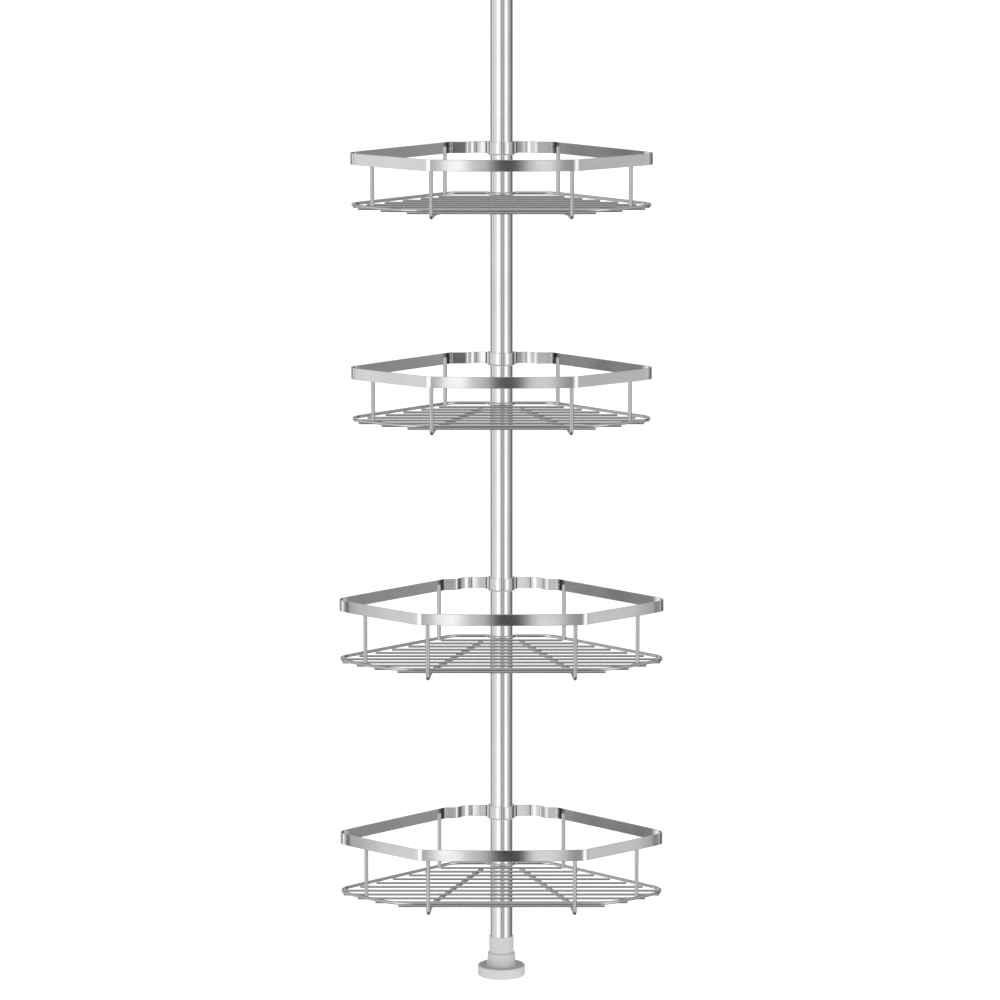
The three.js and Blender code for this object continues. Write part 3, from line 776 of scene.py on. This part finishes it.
    def finish(self, name: str, body: str, finish: Finish, nodes: Sequence[str]) -> bpy.types.Object:
        """Closes the work and puts the piece into the scene, where the other pieces don't mirror it.

        Args:
            name: the piece's name.
            body: the CAD body that it rides on.
            finish: its finish.
            nodes: the CAD nodes that it stands for.

        Returns:
            The piece.
        """
        bmesh.ops.recalc_face_normals(self.work, faces=self.work.faces[:])
        for face in self.work.faces:
            face.smooth = True
        for edge in self.work.edges:
            edge.smooth = not (edge.is_manifold and edge.calc_face_angle(0.0) > SHARP_ANGLE)
        bmesh.ops.scale(self.work, vec=(MM, MM, MM), verts=self.work.verts[:])
        mesh = bpy.data.meshes.new(name)
        self.work.to_mesh(mesh)
        self.work.free()
        mesh.materials.append(finish.material())
        piece = bpy.data.objects.new(name, mesh)
        piece.visible_glossy = False
        bpy.context.collection.objects.link(piece)
        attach(piece, body)
        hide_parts(*nodes)
        log.info("%s: %d faces, rides on %s, stands for %s", name, len(mesh.polygons), body, ", ".join(nodes))
        return piece


# The pole


@dataclass
class Foot:
    """A plastic foot with its rubber pad, at either end of the pole."""

    name: str
    body: str
    base: float
    direction: int
    socket_radius: float
    height: float = 47.0
    disc_radius: float = 26.7
    disc_height: float = 13.2
    edge_round: float = 1.4
    rim_width: float = 2.6
    dish_depth: float = 0.7
    cone_base_radius: float = 16.2
    cone_top_radius: float = 15.3
    cone_top_height: float = 27.5
    collar_radius: float = 13.8
    socket_floor: float = 12.0
    pad_radius: float = 22.0
    pad_thickness: float = 3.0

    def _placed(self, corners: Iterable[tuple[float, float, float]], closed: bool) -> Profile:
        """Sets a profile on the base, up from the floor or down from the ceiling."""
        placed = tuple((radius, self.base + self.direction * level, rounding) for radius, level, rounding in corners)
        return Profile(placed, closed)

    def build(self) -> None:
        """Builds the foot and its pad."""
        dish = self.disc_height - self.dish_depth
        dish_outer = self.disc_radius - self.edge_round - self.rim_width
        shell = [
            (0.0, self.pad_thickness, 0.0),
            (self.pad_radius + 0.25, self.pad_thickness, 0.0),
            (self.pad_radius + 0.25, 1.0, 0.3),
            (self.disc_radius, 1.0, self.edge_round),
            (self.disc_radius, self.disc_height, self.edge_round),
            (dish_outer, self.disc_height, 0.4),
            (dish_outer - self.dish_depth, dish, 0.3),
            (self.cone_base_radius + self.dish_depth, dish, 0.5),
            (self.cone_base_radius, dish + 1.7, 0.5),
            (self.cone_top_radius, self.cone_top_height, 0.5),
            (self.collar_radius, self.cone_top_height + 0.4, 0.1),
            (self.collar_radius, self.height, 0.5),
            (self.socket_radius, self.height, 0.3),
            (self.socket_radius, self.socket_floor, 0.0),
            (0.0, self.socket_floor, 0.0),
        ]
        shape = Workpiece().turn(self._placed(shell, False), 128)
        shape.finish(self.name + "_foot_shell", self.body, GREY_PLASTIC, [self.name + "_foot"])
        sole = [(0.0, self.pad_thickness, 0.0), (self.pad_radius, self.pad_thickness, 0.4), (self.pad_radius, 0.0, 0.7)]
        for groove in (18.5, 14.5, 10.5, 6.5):
            sole += [(groove + 0.8, 0.0, 0.2), (groove + 0.4, 0.9, 0.2), (groove - 0.4, 0.9, 0.2), (groove - 0.8, 0.0, 0.2)]
        sole.append((0.0, 0.0, 0.0))
        shape = Workpiece().turn(self._placed(sole, False), 96)
        shape.finish(self.name + "_sole", self.body, RUBBER, [self.name + "_pad"])


@dataclass
class Pole:
    """The outer pole: two tubes that meet at a seam, the guide collet in its mouth, and the lock ring."""

    radius: float = 12.7
    wall: float = 0.9
    start: float = 12.0
    section_length: float = 695.0
    inner_radius: float = 10.75
    running_gap: float = 0.25
    ring_radius: float = 17.0
    ring_below: float = 28.0
    flutes: int = 12
    flute_depth: float = 0.9

    def _tube(self, name: str, node: str, start: float) -> None:
        """Builds one tube of the pole from a height up."""
        bore = self.radius - self.wall
        end = start + self.section_length
        rims = ((bore, start, 0.2), (self.radius, start, 0.3), (self.radius, end, 0.3), (bore, end, 0.2))
        Workpiece().turn(Profile(rims, closed=True), 128).finish(name, "pole", POLISHED_POLE, [node])

    def _collet(self, mouth: float) -> None:
        """Builds the guide collet in the mouth of the pole."""
        bore = self.inner_radius + self.running_gap
        skirt = self.radius - self.wall - self.running_gap
        nose = mouth + 11.0
        section = (
            (bore, mouth - 30.0, 0.2),
            (skirt, mouth - 30.0, 0.4),
            (skirt, mouth, 0.0),
            (self.radius, mouth, 0.0),
            (self.radius, mouth + 2.0, 0.3),
            (12.2, mouth + 2.0, 0.2),
            (11.7, nose, 0.3),
            (bore, nose, 0.1),
        )
        shape = Workpiece().turn(Profile(section, closed=True), 96)
        shape.finish("collet_bush", "pole", DARK_PLASTIC, ["guide_collet"])

    def _lock_ring(self, mouth: float) -> None:
        """Builds the fluted ring that locks the inner tube."""
        bottom = mouth - self.ring_below
        lid = mouth + 11.0 + self.running_gap
        top = lid + 2.4
        low, high = bottom + 5.0, top - 5.0
        sleeve = self.radius + self.running_gap
        section = (
            (sleeve, bottom, 0.2),
            (self.ring_radius - 1.6, bottom, 0.2),
            (self.ring_radius, bottom + 1.6, 0.3),
            (self.ring_radius, low - 0.6, 0.0),
            (self.ring_radius, low, 0.0),
            (self.ring_radius, low + 0.8, 0.0),
            (self.ring_radius, high - 0.8, 0.0),
            (self.ring_radius, high, 0.0),
            (self.ring_radius, high + 0.6, 0.0),
            (self.ring_radius, top - 1.6, 0.3),
            (self.ring_radius - 1.6, top, 0.4),
            (self.inner_radius + self.running_gap, top, 0.3),
            (self.inner_radius + self.running_gap, lid, 0.0),
            (sleeve, lid, 0.0),
        )
        shape = Workpiece().turn(Profile(section, closed=True), self.flutes * 24)
        half = math.radians(5.8)
        pitch = math.tau / self.flutes
        for vert in shape.work.verts:
            if not low - 0.1 <= vert.co.z <= high + 0.1 or vert.co.xy.length < self.ring_radius - 0.1:
                continue
            angle = math.atan2(vert.co.y, vert.co.x)
            off = abs((angle + pitch / 2) % pitch - pitch / 2) / half
            if off < 1.0:
                ease = min(1.0, (vert.co.z - low) / 0.8, (high - vert.co.z) / 0.8)
                depth = self.flute_depth * (1.0 - off * off) * max(0.0, ease)
                vert.co.xy *= 1.0 - depth / self.ring_radius
        shape.finish("lock_ring_grip", "twist_lock", GREY_PLASTIC, ["twist_lock_ring"])

    def build(self) -> None:
        """Builds the two tubes, the collet and the lock ring."""
        seam = self.start + self.section_length
        self._tube("lower_tube", "lower_pole_tube", self.start)
        self._tube("upper_tube", "upper_pole_tube", seam)
        mouth = seam + self.section_length
        self._collet(mouth)
        self._lock_ring(mouth)


@dataclass
class InnerPole:
    """The tube that slides out of the pole, with its cap and the sprung plunger of the ceiling foot."""

    radius: float = 10.75
    wall: float = 0.9
    start: float = 880.0
    end: float = 1880.0
    cap_radius: float = 12.6
    plunger_radius: float = 9.5
    plunger_start: float = 1800.0
    plunger_end: float = 1988.0

    def build(self) -> None:
        """Builds the tube, its cap and the plunger."""
        bore = self.radius - self.wall
        rims = ((bore, self.start, 0.2), (self.radius, self.start, 0.3), (self.radius, self.end, 0.3), (bore, self.end, 0.2))
        Workpiece().turn(Profile(rims, closed=True), 96).finish("sliding_tube", "inner_pole", POLISHED_POLE, ["inner_pole_tube"])
        seat = self.radius + 0.25
        mouth = self.plunger_radius + 0.25
        cap = (
            (seat, self.end - 12.0, 0.2),
            (self.cap_radius, self.end - 12.0, 0.4),
            (self.cap_radius, self.end + 2.0, 0.8),
            (mouth, self.end + 2.0, 0.3),
            (mouth, self.end, 0.0),
            (seat, self.end, 0.0),
        )
        Workpiece().turn(Profile(cap, closed=True), 96).finish("end_cap", "inner_pole", GREY_PLASTIC, ["inner_tube_cap"])
        inside = self.plunger_radius - 1.2
        rod = (
            (0.0, self.plunger_start, 0.0),
            (self.plunger_radius, self.plunger_start, 0.6),
            (self.plunger_radius, self.plunger_end, 0.2),
            (inside, self.plunger_end, 0.2),
            (inside, self.plunger_start + 3.0, 0.4),
            (0.0, self.plunger_start + 3.0, 0.0),
        )
        Workpiece().turn(Profile(rod), 96).finish("plunger_rod", "ceiling_plunger", POLISHED_POLE, ["spring_plunger"])


# The shelves


@dataclass(frozen=True)
class Plan:
    """Plan sizes of a shelf: a reach is sideways from the pole's axis, a depth forwards from it."""

    front_depth: float
    front_bow: float
    front_reach: float
    corner_reach: float
    rear_reach: float
    step_depth: float
    step_start: float
    step_end: float
    rim_drop: float
    floor_depth: float
    cross_wires: int
    front_post_reach: float
    knee_reach: float
    knee_depth: float
    side_post_reach: float
    rear_post_reach: float


LARGE_PLAN = Plan(220.5, 4.5, 91.0, 183.7, 51.0, 12.5, 41.0, 50.0, 66.5, 193.0, 11, 80.0, 76.5, 168.0, 148.6, 69.7)
SMALL_PLAN = Plan(190.5, 4.0, 80.0, 171.0, 52.5, 4.5, 31.0, 38.0, 57.0, 170.0, 9, 75.7, 72.5, 146.0, 139.7, 62.5)


def at(reach: float, depth: float, height: float = 0.0) -> Vector:
    """Gives a point of a plan, at a height."""
    return Vector((reach, -depth, height))


def meeting(point_a: Vector, run_a: Vector, point_b: Vector, run_b: Vector) -> Vector:
    """Gives where two plan lines meet, each given by a point and a direction."""
    cross = run_a.x * run_b.y - run_a.y * run_b.x
    between = point_b - point_a
    return point_a + run_a * ((between.x * run_b.y - between.y * run_b.x) / cross)


def inward_of(run: Vector) -> Vector:
    """Gives the direction from a run on the right of the rail towards the inside of the shelf."""
    return Vector((-abs(run.y), math.copysign(1.0, run.y) * run.x, 0.0))


def bowed(start: Vector, end: Vector, bow: float, inset: float) -> Corner:
    """Bows the run between two corners slightly outwards, as springy strip lies.

    Args:
        start: the corner that the run leaves.
        end: the corner that it reaches.
        bow: how far its middle would stand out if it weren't rounded.
        inset: how much of each end the bends of the two corners take.

    Returns:
        The corner in the middle of the run.
    """
    half = (end - start) / 2
    outward = half.cross(UP).normalized()
    if outward.dot(start + half) < 0:
        outward.negate()
    return Corner(start + half + outward * bow, (half.length - inset) * half.length / bow)


def both_hands(right: Sequence[Corner]) -> tuple[list[Corner], list[Corner]]:
    """Gives corners on the right, from the pole outwards, and their mirror images in the order back to it."""
    left = [Corner(Vector((-corner.point.x, corner.point.y, corner.point.z)), corner.radius) for corner in right]
    return list(right), left[::-1]


def wrap_corners(radius: float, bend: float, line_depth: float, wrap: int) -> list[Corner]:
    """Gives the corners of a route that wraps round the pole, from right to left.

    Args:
        radius: radius of the wrap.
        bend: radius of the bends into and out of it.
        line_depth: depth of the line that the route arrives along, counted towards the wrap.
        wrap: +1 in front of the pole, -1 behind it.

    Returns:
        Four corners.
    """
    rise = (line_depth + bend) / (radius + bend)
    run = math.sqrt(1.0 - rise * rise)
    entry = (radius - line_depth * rise) / run
    crown = radius * (1.0 - rise) / run
    return [
        Corner(at(entry, wrap * line_depth), bend),
        Corner(at(crown, wrap * radius), radius),
        Corner(at(-crown, wrap * radius), radius),
        Corner(at(-entry, wrap * line_depth), bend),
    ]


@dataclass
class Shelf:
    """A shelf: a rail of flat strip round a floor of wires, hung on six uprights and clamped round the pole."""

    name: str
    plan: Plan
    top: float
    strip_thickness: float = 1.2
    rail_height: float = 12.7
    strap_height: float = 13.5
    rim_radius: float = 1.8
    cross_radius: float = 1.3
    post_radius: float = 2.2
    seat_gap: float = 0.25
    collar_inner_radius: float = 14.15
    flange_reach: float = 17.6
    elbow_radius: float = 5.0
    knee_radius: float = 30.0
    rim_back_depth: float = 3.0
    leg_end: Vector = field(default_factory=lambda: Vector((22.0, 5.5)))
    run_bow: float = 0.8
    rear_slant: float = 1.37
    flat_slants: tuple[float, float] = (0.87, 0.49)
    step_slant: float = 0.55

    def __post_init__(self) -> None:
        """Works out the main corners of the rail on the right, and the directions of its runs."""
        plan = self.plan
        self.front_corner = at(plan.front_reach, plan.front_depth - plan.front_bow)
        self.corner = at(plan.corner_reach, plan.corner_reach - plan.rear_reach)
        self.rear = at(plan.rear_reach + plan.step_depth, plan.step_depth)
        self.side_run = (self.corner - self.front_corner).normalized()
        self.rear_run = (self.corner - self.rear).normalized()
        self.rail_to_post = self.strip_thickness / 2 + self.seat_gap + self.post_radius
        self.rail_to_rim = self.rail_to_post - self.post_radius - self.seat_gap - self.rim_radius
        self.ring_radius = 12.7 + 0.5 + self.rim_radius
        self.rim_level = -plan.rim_drop
        self.cross_level = self.rim_level - self.rim_radius - self.cross_radius + 0.3
        self.leg_level = self.cross_level - self.cross_radius - self.seat_gap - self.post_radius

    def _finish(self, shape: Workpiece, piece: str, finish: Finish, node: str) -> None:
        """Sets a piece at the shelf's height and puts it into the scene."""
        shape.lift(self.top).finish(self.name + "_" + piece, self.name + "_shelf", finish, [self.name + "_" + node])

    def _rail(self) -> None:
        """Builds the rail: one closed loop of flat strip that wraps behind the pole."""
        plan = self.plan
        before = self.corner - self.rear_run * 19.0
        after = self.corner - self.side_run * 19.0
        tip = self.corner + (before + after - 2 * self.corner).normalized() * 1.8
        right, left = both_hands([
            Corner(at(plan.step_start, -self.rear_slant), 0.37 * plan.step_start),
            Corner(at(plan.step_end, plan.step_depth - self.step_slant), 4.0),
            Corner(self.rear, 7.0),
            bowed(self.rear, before, self.run_bow, 9.0),
            Corner(before, 170.0),
            Corner(tip, 13.0),
            Corner(after, 170.0),
            bowed(after, self.front_corner, self.run_bow, 9.0),
            Corner(self.front_corner, 14.0),
        ])
        middle = (plan.step_start + self.flange_reach - 2.0) / 2
        flat_bend = 17.0 * (plan.step_start - middle)
        right.insert(0, Corner(at(middle, -self.flat_slants[0]), flat_bend))
        left.append(Corner(at(-middle, -self.flat_slants[1]), flat_bend))
        crown = at(0.0, plan.front_depth + plan.front_bow)
        tangent = crown - self.front_corner
        straight = tangent.length - 14.0 * math.tan(abs(math.pi - (self.side_run).angle(tangent)) / 2)
        bow_turn = 2 * math.atan2(2 * plan.front_bow, plan.front_reach)
        bow = Corner(crown, 0.97 * straight / math.tan(bow_turn / 2))
        wrap = wrap_corners(self.collar_inner_radius + self.strip_thickness / 2, 2.5, 0.0, -1)[::-1]
        section = FlatBar(self.strip_thickness, self.rail_height, 0.35)
        shape = Workpiece().bar(section, Route((*right, bow, *left, *wrap), closed=True), UP)
        shape.lift(-self.rail_height / 2)
        # The spot of the painted dark reflection on the rail, at the rear upright's weld; the strip's finish gets its
        # own variant for it.
        weld = (self.rear + self.rear_run * (plan.rear_post_reach - self.rear.x - 2.9) / self.rear_run.x) * MM
        strip = replace(BRUSHED_STRIP, weld=(weld.x, -weld.y), variant=f"welded_{plan.cross_wires}")
        self._finish(shape, "rail_strip", strip, "rail_band")

    def _strap(self) -> None:
        """Builds the strap that closes the collar in front of the pole."""
        depth = self.strip_thickness + self.seat_gap
        wrap = wrap_corners(self.collar_inner_radius + self.strip_thickness / 2, 1.4, depth, 1)
        ends = Corner(at(self.flange_reach, depth)), Corner(at(-self.flange_reach, depth))
        section = FlatBar(self.strip_thickness, self.strap_height, 0.3)
        shape = Workpiece().bar(section, Route((ends[0], *wrap, ends[1])), UP)
        shape.lift(-self.rail_height / 2)
        self._finish(shape, "collar_clamp", BRUSHED_STRIP, "collar_strap")

    def _rim_corners(self) -> tuple[Vector, Vector, Vector]:
        """Gives the rim wire's front corner, side corner and rear corner on the right."""
        side_point = self.front_corner + inward_of(self.side_run) * self.rail_to_rim
        rear_point = self.rear + inward_of(self.rear_run) * self.rail_to_rim
        sideways = Vector((1.0, 0.0, 0.0))
        front = meeting(at(0.0, self.plan.floor_depth), sideways, side_point, self.side_run)
        corner = meeting(side_point, self.side_run, rear_point, self.rear_run)
        back = meeting(at(0.0, self.rim_back_depth), sideways, rear_point, self.rear_run)
        return front, corner, back

    def _floor(self) -> None:
        """Builds the floor: the rim wire, bent round the pole, and the cross wires welded under it."""
        front, corner, back = self._rim_corners()
        right, left = both_hands([Corner(back, 24.0), Corner(corner, 22.0), Corner(front, 60.0)])
        wrap = wrap_corners(self.ring_radius, 4.0, self.rim_back_depth, 1)[::-1]
        rim = Route((*right, *left, *wrap), closed=True)
        shape = Workpiece().bar(RoundBar(self.rim_radius), rim, UP)
        shape.lift(self.rim_level)
        pitch = (self.plan.floor_depth - self.ring_radius) / (self.plan.cross_wires - 1)
        weld_level = (self.rim_level + self.cross_level) / 2 - 0.1
        for wire in range(self.plan.cross_wires):
            depth = self.ring_radius + wire * pitch
            crossing = rim.reach_at(min(depth, self.plan.floor_depth - 2 * self.cross_radius))
            reach = crossing + 0.6
            ends = Corner(at(-reach, depth, self.cross_level)), Corner(at(reach, depth, self.cross_level))
            shape.bar(RoundBar(self.cross_radius, 12), Route(ends), UP, dome=0.5)
            for hand in (-1, 1):
                spot = at(hand * (crossing - 1.0 if depth < self.plan.floor_depth - 1.0 else 80.0), depth, weld_level)
                shape.bead(spot, (1.9, 1.5, 0.8))
        self._finish(shape, "floor_wires", POLISHED_WIRE, "floor_grid")

    def _front_wire(self, side: Side) -> None:
        """Builds a front upright and the leg under the floor, bent from one wire."""
        plan = self.plan
        reach = plan.front_post_reach
        share = reach / plan.front_reach
        front = plan.front_depth - plan.front_bow * share * share
        depth = front - self.strip_thickness / 2 - 0.45 - self.post_radius
        head = at(reach, depth, -4.0)
        foot = at(reach, depth, self.leg_level)
        knee = at(plan.knee_reach, plan.knee_depth, self.leg_level)
        end = at(self.leg_end.x, self.leg_end.y, self.leg_level)
        along = (knee - foot).normalized()
        route = Route((Corner(head), Corner(foot, self.elbow_radius), Corner(knee, self.knee_radius), Corner(end)))
        shape = Workpiece().bar(RoundBar(self.post_radius, 20), route, along, dome=0.9)
        for level in (-5.6, -9.4):
            shape.bead(at(reach, front - self.strip_thickness / 2 - 0.3, level), (1.5, 0.8, 1.2))
        pitch = (plan.floor_depth - self.ring_radius) / (plan.cross_wires - 1)
        for wire in range(1, plan.cross_wires):
            wire_depth = self.ring_radius + wire * pitch
            near, far = (end, knee) if wire_depth < plan.knee_depth else (knee, foot)
            spot = near + (far - near) * ((wire_depth + near.y) / (near.y - far.y))
            shape.bead(spot + UP * (self.post_radius + 0.1), (1.5, 1.5, 0.6))
        name = side.name.lower()
        self._finish(shape.mirror(side), name + "_leg_wire", DARKENED_UPRIGHT_WIRE, name + "_front_wire")

    def _post(self, side: Side, piece: str, start: Vector, run: Vector, reach: float) -> None:
        """Builds an upright just inside a straight run of the rail, at a reach.

        Args:
            side: which hand of the shelf.
            piece: the upright's name.
            start: a point of the run.
            run: its direction.
            reach: how far from the pole's axis the upright stands, sideways.
        """
        inset = inward_of(run) * self.rail_to_post
        spot = start + run * ((reach - start.x - inset.x) / run.x) + inset
        foot = self.cross_level + self.cross_radius + self.seat_gap
        route = Route((Corner(spot + UP * foot), Corner(spot - UP * 4.0)))
        shape = Workpiece().bar(RoundBar(self.post_radius, 20), route, inward_of(run), dome=0.9)
        outward = -inward_of(run)
        for level in (-5.6, -9.4):
            shape.bead(spot + outward * (self.post_radius + 0.15) + UP * level, (1.0, 1.0, 1.2))
        shape.bead(spot + outward * (self.post_radius + 0.15) + UP * self.rim_level, (1.2, 1.2, 1.5))
        name = side.name.lower() + "_" + piece
        self._finish(shape.mirror(side), name + "_upright", DARKENED_UPRIGHT_WIRE, name + "_post")

    def _sleeve(self) -> None:
        """Builds the split ring that grips the pole inside the collar, with the lip that carries the collar."""
        inner = 12.95
        outer = 13.75
        middle = (inner + outer) / 2
        lip_top = -(self.rail_height + self.strap_height) / 2 - self.seat_gap
        half_slot = 2.0 / middle
        rings = (
            ("grip_sleeve", DARK_PLASTIC, middle, -0.8, -0.8 - lip_top + 1.0),
            ("grip_lip", GREY_PLASTIC, (outer + 15.35) / 2, lip_top, 1.0),
        )
        for piece, finish, radius, top, height in rings:
            shape = Workpiece()
            thickness = 2 * (radius - (inner if radius == middle else outer))
            start = Vector((radius * math.cos(math.pi / 2 + half_slot), radius * math.sin(math.pi / 2 + half_slot), top - height / 2))
            heading = Matrix.Translation(start) @ Matrix.Rotation(math.pi / 2 + half_slot, 4, "Z") @ Matrix.Rotation(math.pi / 2, 4, "X")
            ring = shape._lay(FlatBar(thickness, height, 0.15), heading)
            bmesh.ops.edgeloop_fill(shape.work, edges=ring)
            turn = math.tau - 2 * half_slot
            centre = Vector((0.0, 0.0, start.z))
            arc = Bend(start, start, centre, UP, turn, radius)
            bmesh.ops.edgeloop_fill(shape.work, edges=shape._spin(ring, arc))
            shape.lift(self.top)
            shape.finish(self.name + "_" + piece, self.name + "_sleeve", finish, [self.name + "_lock_sleeve"])

    def build(self) -> None:
        """Builds the whole shelf."""
        self._rail()
        self._strap()
        self._floor()
        for side in Side:
            self._front_wire(side)
            self._post(side, "side", self.front_corner, self.side_run, self.plan.side_post_reach)
            self._post(side, "rear", self.rear, self.rear_run, self.plan.rear_post_reach)
        self._sleeve()


# The studio


class Softbox(Effect):
    """The mask of one soft light or dark card of the surroundings, by direction in degrees."""

    name = "softbox"
    inputs = {"Azimuth": 0.0, "Elevation": 0.0, "Centre": 0.0, "Width": 10.0, "Height": 0.0, "Reach": 40.0, "Blur": 4.0}
    outputs = ("Mask",)

    @classmethod
    def wire(cls, bench: Bench, given: bpy.types.NodeOutputs) -> dict[str, bpy.types.NodeSocket]:
        """Multiplies a soft range of azimuth by a soft range of elevation."""
        across = bench.math("ABSOLUTE", bench.math("SUBTRACT", given["Azimuth"], given["Centre"]))
        around = bench.math("MINIMUM", across, bench.math("SUBTRACT", 360.0, across))
        above = bench.math("ABSOLUTE", bench.math("SUBTRACT", given["Elevation"], given["Height"]))
        masks = []
        for distance, half in ((around, given["Width"]), (above, given["Reach"])):
            made = bench.node("MapRange", interpolation_type="SMOOTHSTEP")
            bench.feed(made.inputs["Value"], distance)
            bench.feed(made.inputs["From Min"], bench.math("ADD", half, given["Blur"]))
            bench.feed(made.inputs["From Max"], bench.math("SUBTRACT", half, given["Blur"]))
            masks.append(made.outputs["Result"])
        return {"Mask": bench.math("MULTIPLY", *masks)}


@dataclass(frozen=True)
class Card:
    """A light or dark card of the surroundings: azimuth 0 is the camera's side, 90 is the right."""

    azimuth: float
    width: float
    level: float
    blur: float = 4.0
    height: float = -10.0
    reach: float = 45.0


@dataclass
class Studio:
    """Camera, floor and light, in metres."""

    camera_place: Vector = field(default_factory=lambda: Vector((-0.0016, -6.0025, 1.5779)))
    pitch: float = 9.746
    lens: float = 196.28
    overhead: float = 0.34
    horizon: float = 0.6
    surround: float = 0.5
    cards: tuple[Card, ...] = (
        Card(0, 180, 0.4, 8, 90, 52),
        Card(0, 70, 1.05, 10, 62, 14),
        Card(-78, 31, 0.82, 4),
        Card(-31.5, 17, 1.25, 5),
        Card(48.5, 16, 1.2, 8),
        Card(80, 14, 0.56, 5),
        Card(124, 32, 0.16, 6),
        Card(-110, 6, 0.5, 3),
        Card(-124, 9, 0.28, 3),
        Card(180, 30, 0.3, 6),
        Card(-148, 13, 0.75, 4),
        Card(152, 9, 0.7, 4),
        Card(2, 16, 0.3, 5),
        Card(-97.5, 5, 1.1, 1.5),
        Card(97.5, 3.5, 0.7, 1.5),
        Card(-84.6, 2.2, 0.74, 1.2),
        Card(84.6, 2.2, 0.74, 1.2),
        Card(-89.6, 2.4, 0.15, 1.2),
        Card(89.6, 2.4, 0.26, 1.2),
        Card(-4.4, 2.6, 0.62, 1.0, -10, 14),
        Card(-8.4, 2.3, 1.28, 1.2, -10, 14),
        Card(7.0, 3.0, 0.88, 1.6, -10, 14),
        Card(1.25, 2.7, 0.035, 1.0, -10, 14),
        Card(0, 180, 0.18, 8, -90, 42),
    )

    def set_camera(self) -> None:
        """Sets the camera at the photograph's viewing angle."""
        data = bpy.data.cameras.new("camera")
        data.lens = self.lens
        data.sensor_width = 36.0
        data.clip_end = 60.0
        camera = bpy.data.objects.new("camera", data)
        camera.location = self.camera_place
        camera.rotation_euler = (math.radians(90.0 - self.pitch), 0.0, 0.0)
        bpy.context.collection.objects.link(camera)
        bpy.context.scene.camera = camera

    def set_surroundings(self) -> None:
        """Sets a white room whose soft lights and dark cards show in the steel."""
        world = bpy.data.worlds.new("studio")
        bpy.context.scene.world = world
        world.use_nodes = True
        bench = Bench(world.node_tree)
        direction = bench.node("SeparateXYZ")
        bench.feed(direction.inputs[0], bench.node("TexCoord").outputs["Generated"])
        turned = bench.math("MULTIPLY", direction.outputs["Y"], -1.0)
        azimuth = bench.math("DEGREES", bench.math("ARCTAN2", direction.outputs["X"], turned))
        elevation = bench.math("DEGREES", bench.math("ARCSINE", direction.outputs["Z"]))
        level: object = self.surround
        for card in self.cards:
            values = {"centre": card.azimuth, "width": card.width, "height": card.height, "reach": card.reach, "blur": card.blur}
            mask = Softbox.use(bench, azimuth=azimuth, elevation=elevation, **values)["Mask"]
            level = bench.mix(mask, level, card.level)
        path = bench.node("LightPath")
        shade = bench.ramp(elevation, 5.0, 50.0, self.horizon, self.overhead)
        plain = bench.mix(path.outputs["Is Camera Ray"], shade, 1.0)
        background = world.node_tree.nodes["Background"]
        bench.feed(background.inputs["Color"], bench.mix(path.outputs["Is Glossy Ray"], plain, level))
        background.inputs["Strength"].default_value = 1.08
        view = bpy.context.scene.view_settings
        view.view_transform = "Standard"
        view.look = "None"

    def add_lamps(self) -> None:
        """Hangs two soft lamps, which shape the plastic foot."""
        for name, place, energy, size in (("key_lamp", (-0.8, -3.6, 0.7), 42.0, 1.2), ("fill_lamp", (2.2, -1.6, 0.6), 8.0, 1.0)):
            data = bpy.data.lights.new(name, "AREA")
            data.energy = energy
            data.size = size
            lamp = bpy.data.objects.new(name, data)
            lamp.location = place
            aim = Vector((0.0, 0.0, 0.4)) - lamp.location
            lamp.rotation_euler = aim.to_track_quat("-Z", "Y").to_euler()
            lamp.visible_glossy = False
            bpy.context.collection.objects.link(lamp)

    def add_floor(self) -> None:
        """Lays a plain pale floor, which the steel doesn't mirror."""
        work = bmesh.new()
        bmesh.ops.create_grid(work, x_segments=1, y_segments=1, size=9.0)
        mesh = bpy.data.meshes.new("floor")
        work.to_mesh(mesh)
        work.free()
        made = bpy.data.materials.new("pale_floor")
        made.use_nodes = True
        shader = made.node_tree.nodes["Principled BSDF"]
        shader.inputs["Base Color"].default_value = (0.93, 0.93, 0.93, 1.0)
        shader.inputs["Roughness"].default_value = 1.0
        shader.inputs["Specular IOR Level"].default_value = 0.0
        shader.inputs["Emission Color"].default_value = (1.0, 1.0, 1.0, 1.0)
        shader.inputs["Emission Strength"].default_value = 0.8
        mesh.materials.append(made)
        floor = bpy.data.objects.new("floor", mesh)
        floor.visible_glossy = False
        bpy.context.collection.objects.link(floor)

    def build(self) -> None:
        """Sets up the whole studio."""
        self.set_camera()
        self.set_surroundings()
        self.add_lamps()
        self.add_floor()


def dress_kept_nodes() -> None:
    """Gives the CAD nodes that stay, all of them inside the pole, their finishes."""
    for node, finish in (("pole_joint_plug", DARK_PLASTIC), ("spring_seat", DARK_PLASTIC), ("tension_spring", SPRING_WIRE)):
        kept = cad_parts[node]
        kept.data.materials.clear()
        kept.data.materials.append(finish.material())
        log.info("%s: kept from the CAD model, with the finish %s", node, finish.slot.value)


def main() -> None:
    """Builds the studio and the shelf unit."""
    logging.basicConfig(level=logging.INFO, format="%(name)s: %(message)s")
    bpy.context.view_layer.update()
    Studio().build()
    Pole().build()
    InnerPole().build()
    Foot("floor", "pole", 0.0, 1, 12.95).build()
    Foot("ceiling", "ceiling_plunger", 2000.0, -1, 9.75).build()
    for name, plan in (("bottom", LARGE_PLAN), ("lower", LARGE_PLAN), ("upper", SMALL_PLAN), ("top", SMALL_PLAN)):
        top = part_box(name + "_rail_band")[1].z / MM
        Shelf(name, plan, top).build()
    dress_kept_nodes()
    bpy.context.view_layer.update()


if __name__ == "__main__":
    main()
